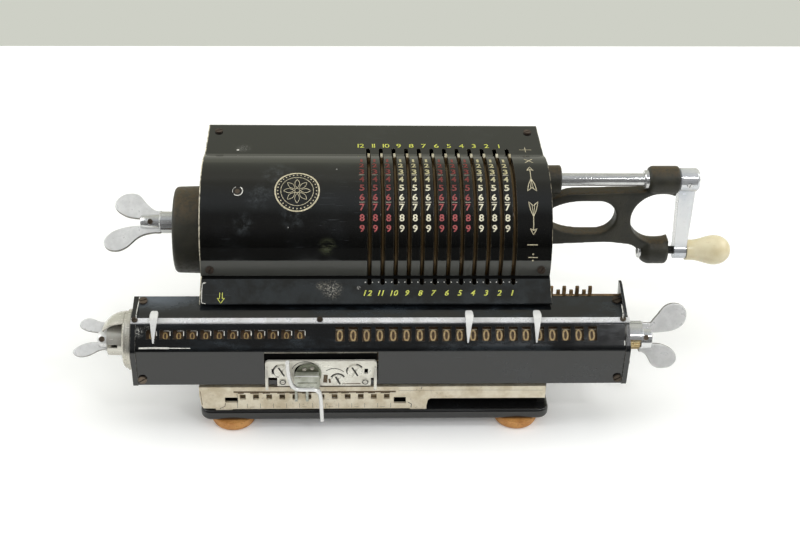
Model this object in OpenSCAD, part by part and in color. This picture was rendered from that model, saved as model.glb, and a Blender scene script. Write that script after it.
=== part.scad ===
/* [Digit places] */
// Distance between neighbouring digit places
pitch = 7; // [6.8:0.1:7.1]
// Number of setting levers, and of places in the revolution counter
lever_count = 12; // [8:1:12]
// Number of places in the product register
product_count = 20; // [12:1:20]
// Turn of a setting lever from one digit to the next, degrees
dial_step_angle = 8.1; // [7:0.1:8.3]

/* [Housing] */
// Width of the sheet metal cover
cover_w = 186.5; // [184:0.5:190]
// Thickness of the cover sheet
sheet_t = 1.2; // [0.8:0.1:1.6]
// Distance between the pinwheels and the cover sheet
cover_gap = 0.7; // [0.4:0.1:1.2]
// Height of the drum axis above the table
drum_z = 83.5; // [82:0.5:86]
// How far the flat rear plate lies below the top of the cover
plate_drop = 3.8; // [3:0.1:5]
// Depth of the flat rear plate
plate_depth = 35.8; // [32:0.2:37]
// Length of the flap over the carriage
flap_length = 17.1; // [16:0.1:17.5]
// Width of a lever slot
slot_w = 2.3; // [2:0.1:2.6]
// Length of the lever slots behind the drum axis
slot_back = 24; // [23.8:0.1:25]
// Length of the lever slots on the flap
slot_front = 5; // [4.5:0.1:6]
// Distance from the right side of the cover to the first lever slot
slot_inset = 19.95; // [19:0.05:21]
// Thickness of the side frames
frame_t = 4; // [3:0.5:4]
// Width of the rough cast boss at the left end of the drum
boss_w = 16.3; // [12:0.1:18]
// Radius of the rough cast boss
boss_r = 24.2; // [23:0.1:26]

/* [Base] */
// How far the base stands out beside the cover
base_side = 1; // [0.5:0.1:4]
// Thickness of the base
base_h = 6.5; // [5:0.5:8]
// How far the carriage stands out over the front edge of the base
carriage_overhang = 0.8; // [0:0.1:2]
// Radius of a rubber foot
foot_r = 12; // [10:0.5:13]
// Height of a rubber foot
foot_h = 5.5; // [4:0.5:7]
// Height of the stepped rack on the base
rack_h = 12; // [11:0.5:13]
// Thickness of the rack plate
rack_t = 2; // [1.5:0.1:2.4]

/* [Drum] */
// Radius of a pinwheel
pinwheel_r = 37.6; // [36:0.1:37.8]
// How far the lever tips stand out of the cover
lever_reach = 2.2; // [1.6:0.1:2.6]
// Thickness of a setting lever
lever_t = 1.2; // [1:0.1:1.5]
// Radius of the drum shaft
drum_shaft_r = 5; // [4:0.5:6]
// Number of teeth on each drive gear
gear_teeth = 28; // [24:2:28]
// Gear module of the drive gears
gear_module = 1; // [0.95:0.01:1]

/* [Crank] */
// Direction from the drum axis to the crank axis above the horizontal, degrees
crank_angle = 38.5; // [36:0.5:40]
// Radius of the crank shaft
crank_shaft_r = 3.6; // [3:0.05:4]
// Distance from the crank axis to the handle axis
crank_length = 47.5; // [44:0.5:50]
// Distance from the right side of the cover to the end of the crank hub
crank_reach = 90.55; // [88:0.05:93]
// Width of the crank hub
crank_hub_w = 11.4; // [9:0.2:12]
// Length of the ivory knob
knob_length = 26.3; // [22:0.1:28]
// Largest radius of the knob
knob_r = 8.7; // [7:0.1:10]
// Thickness of the cast crank bracket
bracket_t = 8.5; // [7:0.5:10]

/* [Carriage] */
// Distance from the first product place to the first lever slot
register_offset = 92.7; // [91:0.1:94]
// Distance between the last counter place and the first product place
register_gap = 20.9; // [20:0.1:24]
// Distance from the left end of the carriage to the first counter place
counter_margin = 10.8; // [10:0.1:13]
// Distance from the last product place to the right end of the carriage
product_margin = 20.1; // [14:0.1:22]
// Distance between the cover and the carriage
carriage_gap = 5; // [4.8:0.1:6]
// Depth of the carriage
carriage_depth = 29.5; // [29:0.1:31]
// Height of the underside of the carriage
carriage_bottom = 30.5; // [30:0.1:31]
// Wall thickness of the carriage
carriage_wall = 1.6; // [1.2:0.1:1.8]
// Radius of the number wheels
wheel_r = 13.9; // [13:0.1:14.2]
// Radius of the register shafts
register_shaft_r = 2.5; // [2:0.1:3]
// Radius of the flange of the bell housing
bell_r = 16.2; // [15:0.1:17]

/* [Clearances] */
// Radial clearance of shafts that turn
running_gap = 0.05; // [0.03:0.01:0.08]
// Clearance beside and under parts that slide or swing
slide_gap = 0.3; // [0.2:0.05:0.4]

/* [Hidden] */
$fn = 64;

// Gap between pieces that are fixed together
seat_gap = 0.03;

// Cover: all section values are (Y, Z above the drum axis)
cover_in_r = pinwheel_r + cover_gap;
cover_r = cover_in_r + sheet_t;
plate_up = cover_r - plate_drop;
plate_z = drum_z + plate_up;
kink_r = 3;
kink_y = sqrt(pow(cover_r + kink_r, 2) - pow(plate_up + kink_r, 2));
kink_tip = [kink_y, plate_up + kink_r] * cover_r / (cover_r + kink_r);
kink_angle = 90 + atan2(kink_y, plate_up + kink_r);
housing_back = kink_y + plate_depth;
flap_slope = 28.4;
flap_at = 9.3;
flap_tip = -cover_r * [cos(flap_at), sin(flap_at)] - flap_length * [cos(flap_slope), sin(flap_slope)];
lip_drop = 7;
lip_r = 3;
side_x = cover_w / 2 - 0.8;
frame_in = side_x - frame_t;
frame_gap = 0.1;

// Carriage: the window face slopes between the rail and the front
rear_y = -cover_r - carriage_gap;
axis_y = rear_y - 12.5;
axis_z = carriage_bottom + 18;
slope_angle = 48;
rail_y = rear_y - 20.5;
rail_z = carriage_bottom + 33.5;
rear_top_z = rail_z + 4.4;
carriage_front = carriage_depth - rear_y;
slope_end_z = rail_z - (carriage_front + rail_y) * tan(slope_angle);
carriage_section = [[rear_y, carriage_bottom, 1], [rear_y, rear_top_z, 1.2], [rail_y, rail_z, 1.5],
    [-carriage_front, slope_end_z, 5], [-carriage_front, carriage_bottom, 1.2]];
top_slope = atan((rear_top_z - rail_z) / (rear_y - rail_y));
window_down = 5.2;
plate_thick = 2.6;
wheel_w = pitch - 1.4;
slot_first_x = cover_w / 2 - slot_inset;
product_first_x = slot_first_x - register_offset;
counter_first_x = product_first_x - register_gap - (lever_count - 1) * pitch;
carriage_left = counter_first_x - counter_margin;
carriage_right = product_first_x + (product_count - 1) * pitch + product_margin;
bearing_x = product_first_x - register_gap / 2;
bearing_w = 6;
bell_end = carriage_left - 13.5;
counter_wing_reach = 18.8;
tens_bar_r = 1.1;
tens_lever_t = 1.2;
pointer_rail_y = rail_y + 2;
pointer_rail_w = 3.2;
pointer_rail_t = 1;
pointer_xs = [counter_first_x - 1.5, product_first_x + 68.9, carriage_right - 47.3];

// Base and side frames
base_w = cover_w + 2 * base_side;
base_margin = 3;
base_front = carriage_front - carriage_overhang;
base_top = foot_h + base_h;
base_back = housing_back + base_margin;
foot_x = base_w / 2 - 17.25;
foot_front_y = foot_r - base_front - 2.8;
foot_back_y = base_back - foot_r - 2;
foot_edge = 0.6;
foot_hollow_r = 4;
foot_hollow_h = 1.6;
frame_back = housing_back - sheet_t - frame_gap;
frame_front = 2 - cover_r;
rail_t = 2.2;
rail_ys = [rail_y, rear_y - 5.5];
carriage_rail_w = 5;
frame_foot_top = carriage_bottom - slide_gap - rail_t;
frame_foot_front = 1.1 - rail_y;
rear_screw_zs = [base_top + 8, plate_z - lip_drop - 8.2];
rear_screw_r = 1.5;

// Drive
lever_tip_r = cover_r + lever_reach;
center_distance = gear_teeth * gear_module;
crank_y = center_distance * cos(crank_angle);
crank_z = drum_z + center_distance * sin(crank_angle);
gear_w = 5.6;
gear_x = slot_first_x + 6.4;
home_z = crank_z - crank_length;
zero_angle = 95.5 + dial_step_angle;
lever_hub_r = 10;
disc_left = lever_t / 2 + 0.15;
disc_right = pitch - 2;
boss_end = -cover_w / 2 - boss_w;
spindle_r = 3.5;
boss_drop = 2.4;
drum_nut_z = drum_z + 2.3;

// Crank and bracket
crank_hub_end = cover_w / 2 + crank_reach;
crank_hub_start = crank_hub_end - crank_hub_w;
crank_hub_r = 6.7;
crank_screw_x = crank_hub_start + 5.2;
eye_start = crank_hub_end - 8.3;
eye_end = crank_hub_end - 1;
eye_r = 5;
home_boss_w = 15.7;
home_boss_end = eye_start - 3.8;
home_boss_x = home_boss_end - home_boss_w;
home_boss_r = 8;
bracket_boss_r = 7.9;
bracket_boss_x = home_boss_x - 1;
bracket_boss_end = crank_hub_start - 0.2;
bracket_start = cover_w / 2 + 3;
bracket_window_x = bracket_boss_x - 27;
bracket_window_r = 10.9;
bracket_window_long = 22;
bracket_hollow_x = bracket_boss_x + 9;
bracket_hollow_r = 16.6;
collar_w = 2.4;
pin_r = 2.3;
pin_seat = 4;
bush_r = 3.5;
bush_flange_r = 4.6;
knob_end = eye_end + knob_length;
knob_neck_r = 6;
knob_widest = 0.65;
knob_pin_r = 1.6;
knob_pin_head = 3.4;
knob_pin_top = knob_end - 2.2;

// Carriage shift
shift_x = bearing_x - 0.45;
shift_w = 60.5;
shift_left = shift_x - shift_w / 2;
shift_top = carriage_bottom + 17.5;
shift_bottom = carriage_bottom + 0.7;
shift_t = 1.4;
shift_front = carriage_front + shift_t;
shift_lever_depth = 5.6;
shift_pivot_x = shift_x - 7.2;
shift_pivot_z = carriage_bottom + 9.5;
shift_boss_r = 2.5;
rack_front = base_front - 1.2;
pawl_x = shift_x - 9.4;
notch_w = 3;
notch_h = 3.4;
notch_drop = 5.2;
notch_count = 12;
notch_first = pawl_x - 4.5 * pitch;
rack_left = notch_first - 24.8;
rack_right = rack_left + 187.7;
rack_foot_left = rack_left + 10;
rack_foot_right = rack_left + 123.5;
rack_tab_w = 9;
rack_tab_xs = [rack_foot_left, rack_foot_right - rack_tab_w];
rack_edge_h = 6.4;
rack_strip_t = 1.6;
rack_strip_w = 5.6;
rack_top = base_top + rack_h;
pawl_y = -carriage_front - 1.2;
pawl_z = carriage_bottom - 0.5;
pawl_drop = pawl_z - (rack_top - notch_drop + 0.8);

// Middle of the whole machine: counter wing tip to knob, shift lever to base
middle_x = (bell_end - counter_wing_reach + knob_end) / 2;
middle_y = (base_back - shift_front - slide_gap - shift_lever_depth) / 2;

// Unit vector of v
function unit(v) = v / norm(v);
// Point moved into the corner at q, between p and s, until it is d from both edges
function inward(p, q, s, d) =
    let(u = unit(p - q), v = unit(s - q), half = acos(u * v) / 2) q + unit(u + v) * d / sin(half);
// Arc of radius r in the corner at q
function corner_arc(p, q, s, r, steps = 5) =
    let(u = unit(p - q), v = unit(s - q), half = acos(u * v) / 2, c = inward(p, q, s, r),
        a = q + u * r / tan(half) - c, b = q + v * r / tan(half) - c, start = atan2(a[1], a[0]),
        raw = atan2(b[1], b[0]) - start, turn = raw > 180 ? raw - 360 : raw < -180 ? raw + 360 : raw)
    [for (i = [0:steps]) c + r * [cos(start + turn * i / steps), sin(start + turn * i / steps)]];
function xy(p) = [p[0], p[1]];
// Outline with rounded corners from [x, y, radius] entries
function rounded(points) = let(n = len(points))
    [for (i = [0:n - 1]) each points[i][2] > 0
        ? corner_arc(xy(points[(i + n - 1) % n]), xy(points[i]), xy(points[(i + 1) % n]), points[i][2])
        : [xy(points[i])]];
// Convex outline moved inwards by d
function inset(points, d) = let(n = len(points))
    [for (i = [0:n - 1]) inward(xy(points[(i + n - 1) % n]), xy(points[i]), xy(points[(i + 1) % n]), d)];
// Outline of a gear with straight flanks
function gear_outline(n, tip_r, root_r) = [for (i = [0:n - 1]) each
    [for (k = [[root_r, -0.28], [tip_r, -0.12], [tip_r, 0.12], [root_r, 0.28]])
        let(a = (i + k[1]) * 360 / n) k[0] * [cos(a), sin(a)]]];

function ease(s) = s * s * (3 - 2 * s);
// Radius of the pear shaped knob at a share t of its length
function knob_profile(t) = t < knob_widest
    ? knob_neck_r + (knob_r - knob_neck_r) * ease(max(0, t - 0.12) / (knob_widest - 0.12))
    : knob_r * sqrt(1 - pow((t - knob_widest) / 0.37, 2));

// Extrudes a (Y, Z) section along X
module along_x(x, length) { translate([x, 0, 0]) rotate([90, 0, 90]) linear_extrude(length) children(); }
// Extrudes an (X, Z) outline from y towards the rear
module along_y(y, length) {
    translate([0, y + length, 0]) rotate([90, 0, 0]) linear_extrude(length) children();
}
module rod(x0, x1, y, z, r) { translate([x0, y, z]) rotate([0, 90, 0]) cylinder(h = x1 - x0, r = r); }
// Stands children made along +Z on the X axis through (y, z)
module turned(x, y, z, way = 1) { translate([x, y, z]) rotate([0, way * 90, 0]) children(); }
// Slotted screw head standing on the XY plane
module screw_head(r, h, slot = 0) {
    difference() {
        cylinder(h = h, r = r);
        rotate([0, 0, slot]) translate([-r - 1, -r * 0.12, h * 0.45]) cube([2 * r + 2, r * 0.24, h]);
    }
}
// Flat outline that runs from a small circle to a large one
module teardrop(p, rp, q, rq) {
    across = acos((rp - rq) / norm(q - p));
    dir = atan2(q[1] - p[1], q[0] - p[0]);
    translate(p) circle(rp);
    translate(q) circle(rq);
    polygon([for (k = [[p, rp, -1], [q, rq, -1], [q, rq, 1], [p, rp, 1]])
        k[0] + k[1] * [cos(dir + k[2] * across), sin(dir + k[2] * across)]]);
}
// Slab lying on z with rounded upright corners and rounded long edges
module slab(w, y0, y1, z, h, corner, edge) {
    depth = y1 - y0;
    translate([0, (y0 + y1) / 2, z]) {
        translate([corner - w / 2, 0, 0]) rotate([90, 0, 90]) linear_extrude(w - 2 * corner)
            slab_section(depth, h, edge);
        translate([0, depth / 2 - corner, 0]) rotate([90, 0, 0]) linear_extrude(depth - 2 * corner)
            slab_section(w, h, edge);
        for (sx = [-1, 1], sy = [-1, 1])
            translate([sx * (w / 2 - corner), sy * (depth / 2 - corner), 0]) rotate_extrude()
                intersection() {
                    slab_section(2 * corner, h, edge);
                    square([corner, h]);
                }
    }
}
module slab_section(w, h, edge) {
    translate([-w / 2, edge]) square([w, h - 2 * edge]);
    translate([edge - w / 2, 0]) square([w - 2 * edge, h]);
    for (x = [edge - w / 2, w / 2 - edge], y = [edge, h - edge]) translate([x, y]) circle(edge, $fn = 32);
}

// ---- Base, feet and frames ----
module base_plate() {
    color("#141416") slab(base_w, -base_front, base_back, foot_h, base_h, 6, 2);
}

module foot(x, y) {
    color("#c98a4a") translate([x, y, 0]) rotate_extrude() difference() {
        polygon([[0, 0], [foot_r - 2, 0], [foot_r - foot_edge, 0.8], [foot_r, 2.2], [foot_r, foot_h],
            [0, foot_h]]);
        square([foot_hollow_r, foot_hollow_h]);
    }
}

// Side frame, open in front where the carriage passes
module side_frame_section() {
    difference() {
        union() {
            translate([0, drum_z]) circle(cover_in_r - frame_gap);
            translate([-frame_foot_front, base_top]) square([frame_foot_front + frame_back, drum_z - base_top]);
            translate([kink_y + 1, drum_z - 1])
                square([frame_back - kink_y - 1, plate_up - sheet_t - frame_gap + 1]);
        }
        translate([frame_front - cover_r, frame_foot_top]) square([cover_r, 2 * cover_r + frame_foot_top]);
    }
}

module side_frame(x) {
    difference() {
        along_x(x, frame_t) side_frame_section();
        rod(x - 1, x + frame_t + 1, 0, drum_z, drum_shaft_r + running_gap);
    }
}

module side_frame_left() { color("#17171a") side_frame(-side_x); }

module side_frame_right() {
    color("#17171a") difference() {
        side_frame(frame_in);
        rod(frame_in - 1, side_x + 1, crank_y, crank_z, crank_shaft_r + running_gap);
    }
}

// ---- Cover ----
module cover_section() {
    intersection() {
        difference() {
            circle(cover_r);
            circle(cover_in_r);
        }
        polygon([for (a = [-flap_at, 30, 75, kink_angle + 3]) -2 * cover_r * [cos(a), -sin(a)], [0, 0]]);
    }
    // Rear plate with its bent rear lip
    translate([kink_y - 1, plate_up - sheet_t]) square([plate_depth + 1 - lip_r, sheet_t]);
    translate([housing_back - lip_r, plate_up - lip_r]) intersection() {
        difference() {
            circle(lip_r);
            circle(lip_r - sheet_t);
        }
        square(lip_r);
    }
    translate([housing_back - sheet_t, plate_up - lip_drop]) square([sheet_t, lip_drop - lip_r]);
    // Hollow between the drum cover and the rear plate
    difference() {
        polygon([[kink_y, plate_up], kink_tip, 0.98 * kink_tip, [kink_y, plate_up - 0.1]]);
        translate([kink_y, plate_up + kink_r]) circle(kink_r);
    }
    // Front flap over the carriage
    translate(flap_tip) rotate(flap_slope) {
        translate([sheet_t / 2, -sheet_t]) square([flap_length, sheet_t]);
        translate([sheet_t / 2, -sheet_t / 2]) circle(sheet_t / 2, $fn = 24);
    }
}

module cover() {
    color("#0e0e10") difference() {
        translate([0, 0, drum_z]) along_x(-cover_w / 2, cover_w) cover_section();
        for (i = [0:lever_count - 1]) translate([slot_first_x - i * pitch, 0, drum_z + flap_tip[1]])
            linear_extrude(cover_r - flap_tip[1] + 5) lever_slot();
    }
}

module lever_slot() {
    front = slot_w / 2 - slot_front + cover_r * -cos(flap_at);
    back = slot_back - slot_w / 2;
    translate([-slot_w / 2, front]) square([slot_w, back - front]);
    for (y = [front, back]) translate([0, y]) circle(d = slot_w);
}

module rear_cover() {
    color("#0e0e10") difference() {
        translate([-cover_w / 2, housing_back - sheet_t, base_top])
            cube([cover_w, sheet_t, plate_z - lip_drop - 0.2 - base_top]);
        for (x = [-1, 1], z = rear_screw_zs) translate([x * (side_x - frame_t / 2), housing_back + 1, z])
            rotate([90, 0, 0]) cylinder(h = 3, r = rear_screw_r + frame_gap);
    }
}

module cover_screws() {
    color("#2a2724") {
        for (x = [-1, 1]) translate([x * (cover_w / 2 - 6), housing_back - 10.4, plate_z])
            screw_head(2.2, 0.9, 30);
        for (x = [-1, 1]) translate([x * (cover_w / 2 - 5), 0, drum_z]) rotate([93.5, 0, 0])
            translate([0, 0, cover_r]) screw_head(2.2, 0.9, 60);
        for (x = [-1, 1], z = rear_screw_zs) translate([x * (side_x - frame_t / 2), housing_back - sheet_t, z])
            rotate([-90, 0, 0]) {
                cylinder(h = sheet_t, r = rear_screw_r);
                translate([0, 0, sheet_t]) screw_head(2.6, 1, 20);
            }
    }
}

// Rough cast boss, a little below the drum axis
module drum_end_housing() {
    color("#33312c") difference() {
        turned(-side_x, 0, drum_z - boss_drop, -1) rotate_extrude($fn = 96)
            polygon(rounded([[0, 0, 0], [boss_r, 0, 0], [boss_r - 0.5, -boss_end - side_x, 2],
                [0, -boss_end - side_x, 0]]));
        rod(boss_end - 1, 1 - side_x, 0, drum_nut_z, spindle_r + running_gap);
    }
}

// ---- Crank bracket ----
// Web that carries the crank bearing above and the home boss below
module bracket_outline() {
    x = bracket_boss_x;
    outer = home_boss_end - 0.2;
    middle = (crank_z + home_z) / 2;
    difference() {
        polygon(rounded([[bracket_start, home_z + 5.9, 0], [x - 20, home_z + 7.8, 30],
            [x - 3, home_z + 5.6, 8], [x + 2.2, home_z - 6.4, 3], [outer - 2, home_z - 6.9, 0],
            [outer, home_z + 6.6, 0], [outer, crank_z - 4.9, 0], [x + 2.7, crank_z - 1.9, 0],
            [x + 0.6, crank_z - 6, 3], [bracket_start + 14, crank_z - 7.4, 12],
            [bracket_start, crank_z - 13, 0]]));
        // Long window beside the frame, narrower towards it
        translate([bracket_window_x, middle + 0.6]) polygon(concat(
            [for (a = [90:10:270]) [bracket_window_long * cos(a) - 8, bracket_window_r * sin(a)]],
            [for (a = [-90:10:90]) bracket_window_r * [cos(a), sin(a)]]));
        // Hollow between the two bosses
        translate([bracket_hollow_x, middle - 0.2]) circle(bracket_hollow_r);
        translate([bracket_hollow_x, middle - 14.2]) square([10, 29]);
    }
}

module crank_bracket() {
    boss = bracket_boss_end - bracket_boss_x;
    color("#2b2823") difference() {
        union() {
            along_y(crank_y - bracket_t / 2, bracket_t) bracket_outline();
            turned(cover_w / 2, crank_y, crank_z) cylinder(h = 11.7, r = 8.1);
            turned(bracket_boss_x, crank_y, crank_z) rotate_extrude()
                polygon([[0, 0], [bracket_boss_r - 1.2, 0], [bracket_boss_r, 1.6], [bracket_boss_r, boss - 0.6],
                    [bracket_boss_r - 0.6, boss], [0, boss]]);
            turned(home_boss_x, crank_y, home_z) rotate_extrude()
                polygon([[0, 0], [home_boss_r - 2.4, 0], [home_boss_r, 4], [home_boss_r, home_boss_w - 1.5],
                    [home_boss_r - 1.5, home_boss_w], [0, home_boss_w]]);
            // Foot against the side frame
            translate([side_x, crank_y - 9, home_z - 3.4])
                cube([bracket_start + 0.2 - side_x, 18, crank_length + 10.5]);
        }
        rod(side_x - 1, bracket_boss_end + 1, crank_y, crank_z, crank_shaft_r + running_gap);
        rod(home_boss_x - 1, home_boss_x + 20, crank_y, home_z, bush_r + seat_gap);
        rod(home_boss_x - 8, home_boss_x, crank_y, home_z, bush_flange_r + slide_gap);
    }
}

module shaft_collar() {
    color("#c9c9c4") difference() {
        turned(bracket_boss_x - collar_w, crank_y, crank_z) rotate_extrude()
            polygon([[0, 0], [4.9, 0], [5.4, 0.5], [5.4, collar_w], [0, collar_w]]);
        rod(bracket_boss_x - 5, bracket_boss_x + 1, crank_y, crank_z, crank_shaft_r + running_gap);
    }
}

// Steel bush that the index pin drops into
module home_bush() {
    color("#b8b6ae") difference() {
        union() {
            rod(home_boss_x - 0.5, home_boss_x + home_boss_w, crank_y, home_z, bush_r);
            rod(home_boss_x - 1.5, home_boss_x, crank_y, home_z, bush_flange_r);
        }
        rod(home_boss_x - 3, home_boss_x + home_boss_w + 1, crank_y, home_z, pin_r + 2 * running_gap);
    }
}

// ---- Shift rack on the base ----
module rack_outline() {
    difference() {
        polygon([[rack_left, rack_top], [rack_right, rack_top], [rack_right, rack_top - rack_edge_h],
            [rack_foot_right, rack_top - rack_edge_h], [rack_foot_right, base_top],
            [rack_foot_left, base_top], [rack_foot_left - 5, base_top + 0.9],
            [rack_left + 1.4, base_top + 0.9]]);
        for (i = [0:notch_count - 1])
            translate([notch_first + i * pitch - notch_w / 2, rack_top - notch_drop])
                square([notch_w, notch_h]);
        translate([rack_foot_left + 3.6, base_top + 4.2]) square([7.2, notch_h]);
        translate([rack_foot_right - 16.9, base_top + 4.2]) square([6, notch_h]);
    }
}

module shift_rack() {
    color("#cfc8b6") {
        along_y(-rack_front, rack_t) rack_outline();
        // Top strip bent to the rear
        translate([rack_left, -rack_front, rack_top - rack_strip_t])
            cube([rack_right - rack_left, rack_strip_w, rack_strip_t]);
        // Mounting tabs bent to the base
        for (x = rack_tab_xs) translate([x, -rack_front, base_top])
            cube([rack_tab_w, rack_strip_w, rack_strip_t]);
    }
}

module rack_screws() {
    color("#9c968a") {
        for (x = rack_tab_xs)
            translate([x + rack_tab_w / 2, rack_t + 1.9 - rack_front, base_top + rack_strip_t])
                screw_head(1.7, 0.8, 40);
        for (x = [rack_left + 16, rack_right - 15.7]) translate([x, 3.2 - rack_front, rack_top])
            screw_head(1.9, 0.7, 15);
    }
}

// Two rails that carry the carriage
module carriage_rails() {
    color("#8d8a82") {
        for (y = rail_ys) translate([-side_x, y, frame_foot_top])
            cube([2 * side_x, carriage_rail_w, rail_t]);
    }
}

// ---- Drum ----
module drum_shaft() {
    color("#9a9890") rod(-side_x + 0.2, side_x - 0.2, 0, drum_z, drum_shaft_r);
}

module drum_gear() {
    color("#8f8a7c") difference() {
        translate([0, 0, drum_z]) along_x(gear_x, gear_w) rotate(crank_angle)
            polygon(gear_outline(gear_teeth, (gear_teeth / 2 + 0.9) * gear_module,
                (gear_teeth / 2 - 1.2) * gear_module));
        rod(gear_x - 1, gear_x + gear_w + 1, 0, drum_z, drum_shaft_r + seat_gap);
    }
}

module pinwheels() {
    color("#8a6a45") for (i = [0:lever_count - 1]) translate([slot_first_x - i * pitch, 0, 0]) difference() {
        union() {
            rod(disc_left, disc_right, 0, drum_z, pinwheel_r);
            rod(-disc_left - 0.4, disc_left, 0, drum_z, lever_hub_r);
        }
        rod(-3, disc_right + 1, 0, drum_z, drum_shaft_r + seat_gap);
        for (a = [0:60:300]) translate([0, 22 * cos(a), drum_z + 22 * sin(a)])
            rotate([0, 90, 0]) cylinder(h = 20, r = 6, center = true);
    }
}

// Thin ring on the pinwheel's hub, with the finger tip that stands out of the slot
module setting_lever(place) {
    color("#b9a98a") translate([slot_first_x - (place - 1) * pitch, 0, drum_z])
        along_x(-lever_t / 2, lever_t) difference() {
            union() {
                circle(pinwheel_r - 1);
                rotate(180 - zero_angle) {
                    translate([pinwheel_r - 6, -2.2]) square([lever_tip_r - pinwheel_r + 4.5, 4.4]);
                    translate([lever_tip_r - 2.2, 0]) circle(2.2, $fn = 32);
                }
            }
            circle(lever_hub_r + running_gap);
        }
}

// ---- Wing nuts: a hub along the axis and two spoon shaped wings ----
// A wing is hollowed on its outer edge between neck and lobe
module wing(reach, spread, lobe_r, root, neck) {
    p = [root, 2 * neck + 1.2];
    q = [reach - lobe_r, spread + lobe_r];
    sag = 0.11 * norm(q - p);
    r = (pow(norm(q - p) / 2, 2) + sag * sag) / (2 * sag);
    difference() {
        teardrop([root, neck + 1.2], neck, [reach - lobe_r, spread], lobe_r);
        translate((p + q) / 2 + (r - sag) * unit([p[1] - q[1], q[0] - p[0]])) circle(r, $fn = 96);
    }
}

module wings(reach_a, reach_b, spread_a, spread_b, lobe_r, root, neck, thick) {
    translate([0, 0, -thick / 2]) linear_extrude(thick) {
        wing(reach_a, spread_a, lobe_r, root, neck);
        mirror([0, 1]) wing(reach_b, spread_b, lobe_r, root, neck);
    }
}

module drum_wing_nut() {
    color("#c6c6c2") translate([boss_end, 0, drum_nut_z]) {
        rod(-1, boss_w, 0, 0, spindle_r);
        turned(-slide_gap, 0, 0, -1) cylinder(h = 8.5 - slide_gap, r = 6);
        turned(-8, 0, 0, -1) cylinder(h = 11.5, r = 4.2);
        rotate([146, 0, 180]) wings(32.6, 39.7, 10.6, 10.4, 7, 12, 2.6, 2.4);
    }
}

module counter_wing_nut() {
    color("#c6c6c2") translate([bell_end, axis_y, axis_z]) {
        rod(-slide_gap - 4, -slide_gap, 0, 0, 4.6);
        rod(-2, bearing_x - bell_end - slide_gap, 0, 0, register_shaft_r);
        rotate([140, 0, 180]) wings(16.1, counter_wing_reach, 7, 6.6, 4.7, 3.3, 2.2, 2);
    }
}

module product_wing_nut() {
    color("#c6c6c2") translate([carriage_right, axis_y, axis_z]) {
        rod(bearing_x - carriage_right + slide_gap, 8, 0, 0, register_shaft_r);
        rod(7.8, 14.2, 0, 0, 6);
        rotate([66, 0, 0]) wings(33.1, 29.1, 10.6, 10.7, 7, 11.5, 3, 2.4);
    }
}

module product_ratchet() {
    color("#cdbb8c") difference() {
        translate([0, axis_y, axis_z]) along_x(carriage_right + 0.5, 7.2)
            polygon(gear_outline(20, 6, 5.3));
        rod(carriage_right, carriage_right + 10, axis_y, axis_z, register_shaft_r + seat_gap);
    }
}

// ---- Crank ----
module crank_shaft() {
    color("#c9c9c6") rod(gear_x - 0.6, crank_hub_end - 1.5, crank_y, crank_z, crank_shaft_r);
}

module crank_gear() {
    color("#8f8a7c") difference() {
        translate([0, crank_y, crank_z]) along_x(gear_x, gear_w)
            rotate(180 + crank_angle + 180 / gear_teeth)
                polygon(gear_outline(gear_teeth, (gear_teeth / 2 + 0.9) * gear_module,
                    (gear_teeth / 2 - 1.2) * gear_module));
        rod(gear_x - 1, gear_x + gear_w + 1, crank_y, crank_z, crank_shaft_r + seat_gap);
    }
}

module crank_arm() {
    color("#c9c9c6") difference() {
        union() {
            turned(crank_hub_start, crank_y, crank_z) rotate_extrude()
                polygon([[0, 0], [crank_hub_r - 0.5, 0], [crank_hub_r, 0.5], [crank_hub_r, crank_hub_w - 1.6],
                    [crank_hub_r - 0.8, crank_hub_w - 0.4], [crank_hub_r - 2.1, crank_hub_w],
                    [0, crank_hub_w]]);
            // Flat arm, wide at the hub
            along_y(crank_y - 3.5, 7) polygon([[crank_hub_start + 0.3, crank_z - 2],
                [crank_hub_start + 9.8, crank_z - 2], [eye_end - 0.2, home_z], [eye_start, home_z]]);
            rod(eye_start, eye_end - 0.2, crank_y, home_z, eye_r);
        }
        rod(crank_hub_start - 1, crank_hub_end - 1.5, crank_y, crank_z, crank_shaft_r + seat_gap);
        rod(eye_start - 1, eye_end + 1, crank_y, home_z, pin_r + running_gap);
        translate([crank_screw_x, crank_y, crank_z]) rotate([90, 0, 0]) cylinder(h = 8, r = 1.5);
    }
}

module crank_screw() {
    color("#a8a69c") translate([crank_screw_x, crank_y - crank_shaft_r, crank_z]) rotate([90, 0, 0])
        screw_head(1.45, 3.6, 70);
}

// Pin through the eye, seated in the bush, and the spindle that the knob turns on
module index_pin() {
    color("#1b1a19") {
        rod(home_boss_end - pin_seat, eye_end + 14, crank_y, home_z, pin_r);
        rod(eye_end + 13, knob_pin_top - 0.8, crank_y, home_z, knob_pin_r);
        rod(knob_pin_top - 1, knob_pin_top, crank_y, home_z, knob_pin_head);
    }
}

module knob() {
    color("#e6dcb4") difference() {
        turned(eye_end + running_gap, crank_y, home_z) rotate_extrude() polygon(concat([[0, 0]],
            [for (t = [0:0.04:1]) [knob_profile(t), t * (knob_length - running_gap)]],
            [[0, knob_length - running_gap]]));
        rod(eye_end - 1, eye_end + 14 + slide_gap, crank_y, home_z, pin_r + running_gap);
        rod(eye_end + 12, knob_end - 2, crank_y, home_z, knob_pin_r + running_gap);
        rod(knob_pin_top - 1 - slide_gap, knob_end + 1, crank_y, home_z, knob_pin_head + running_gap);
    }
}

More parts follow.
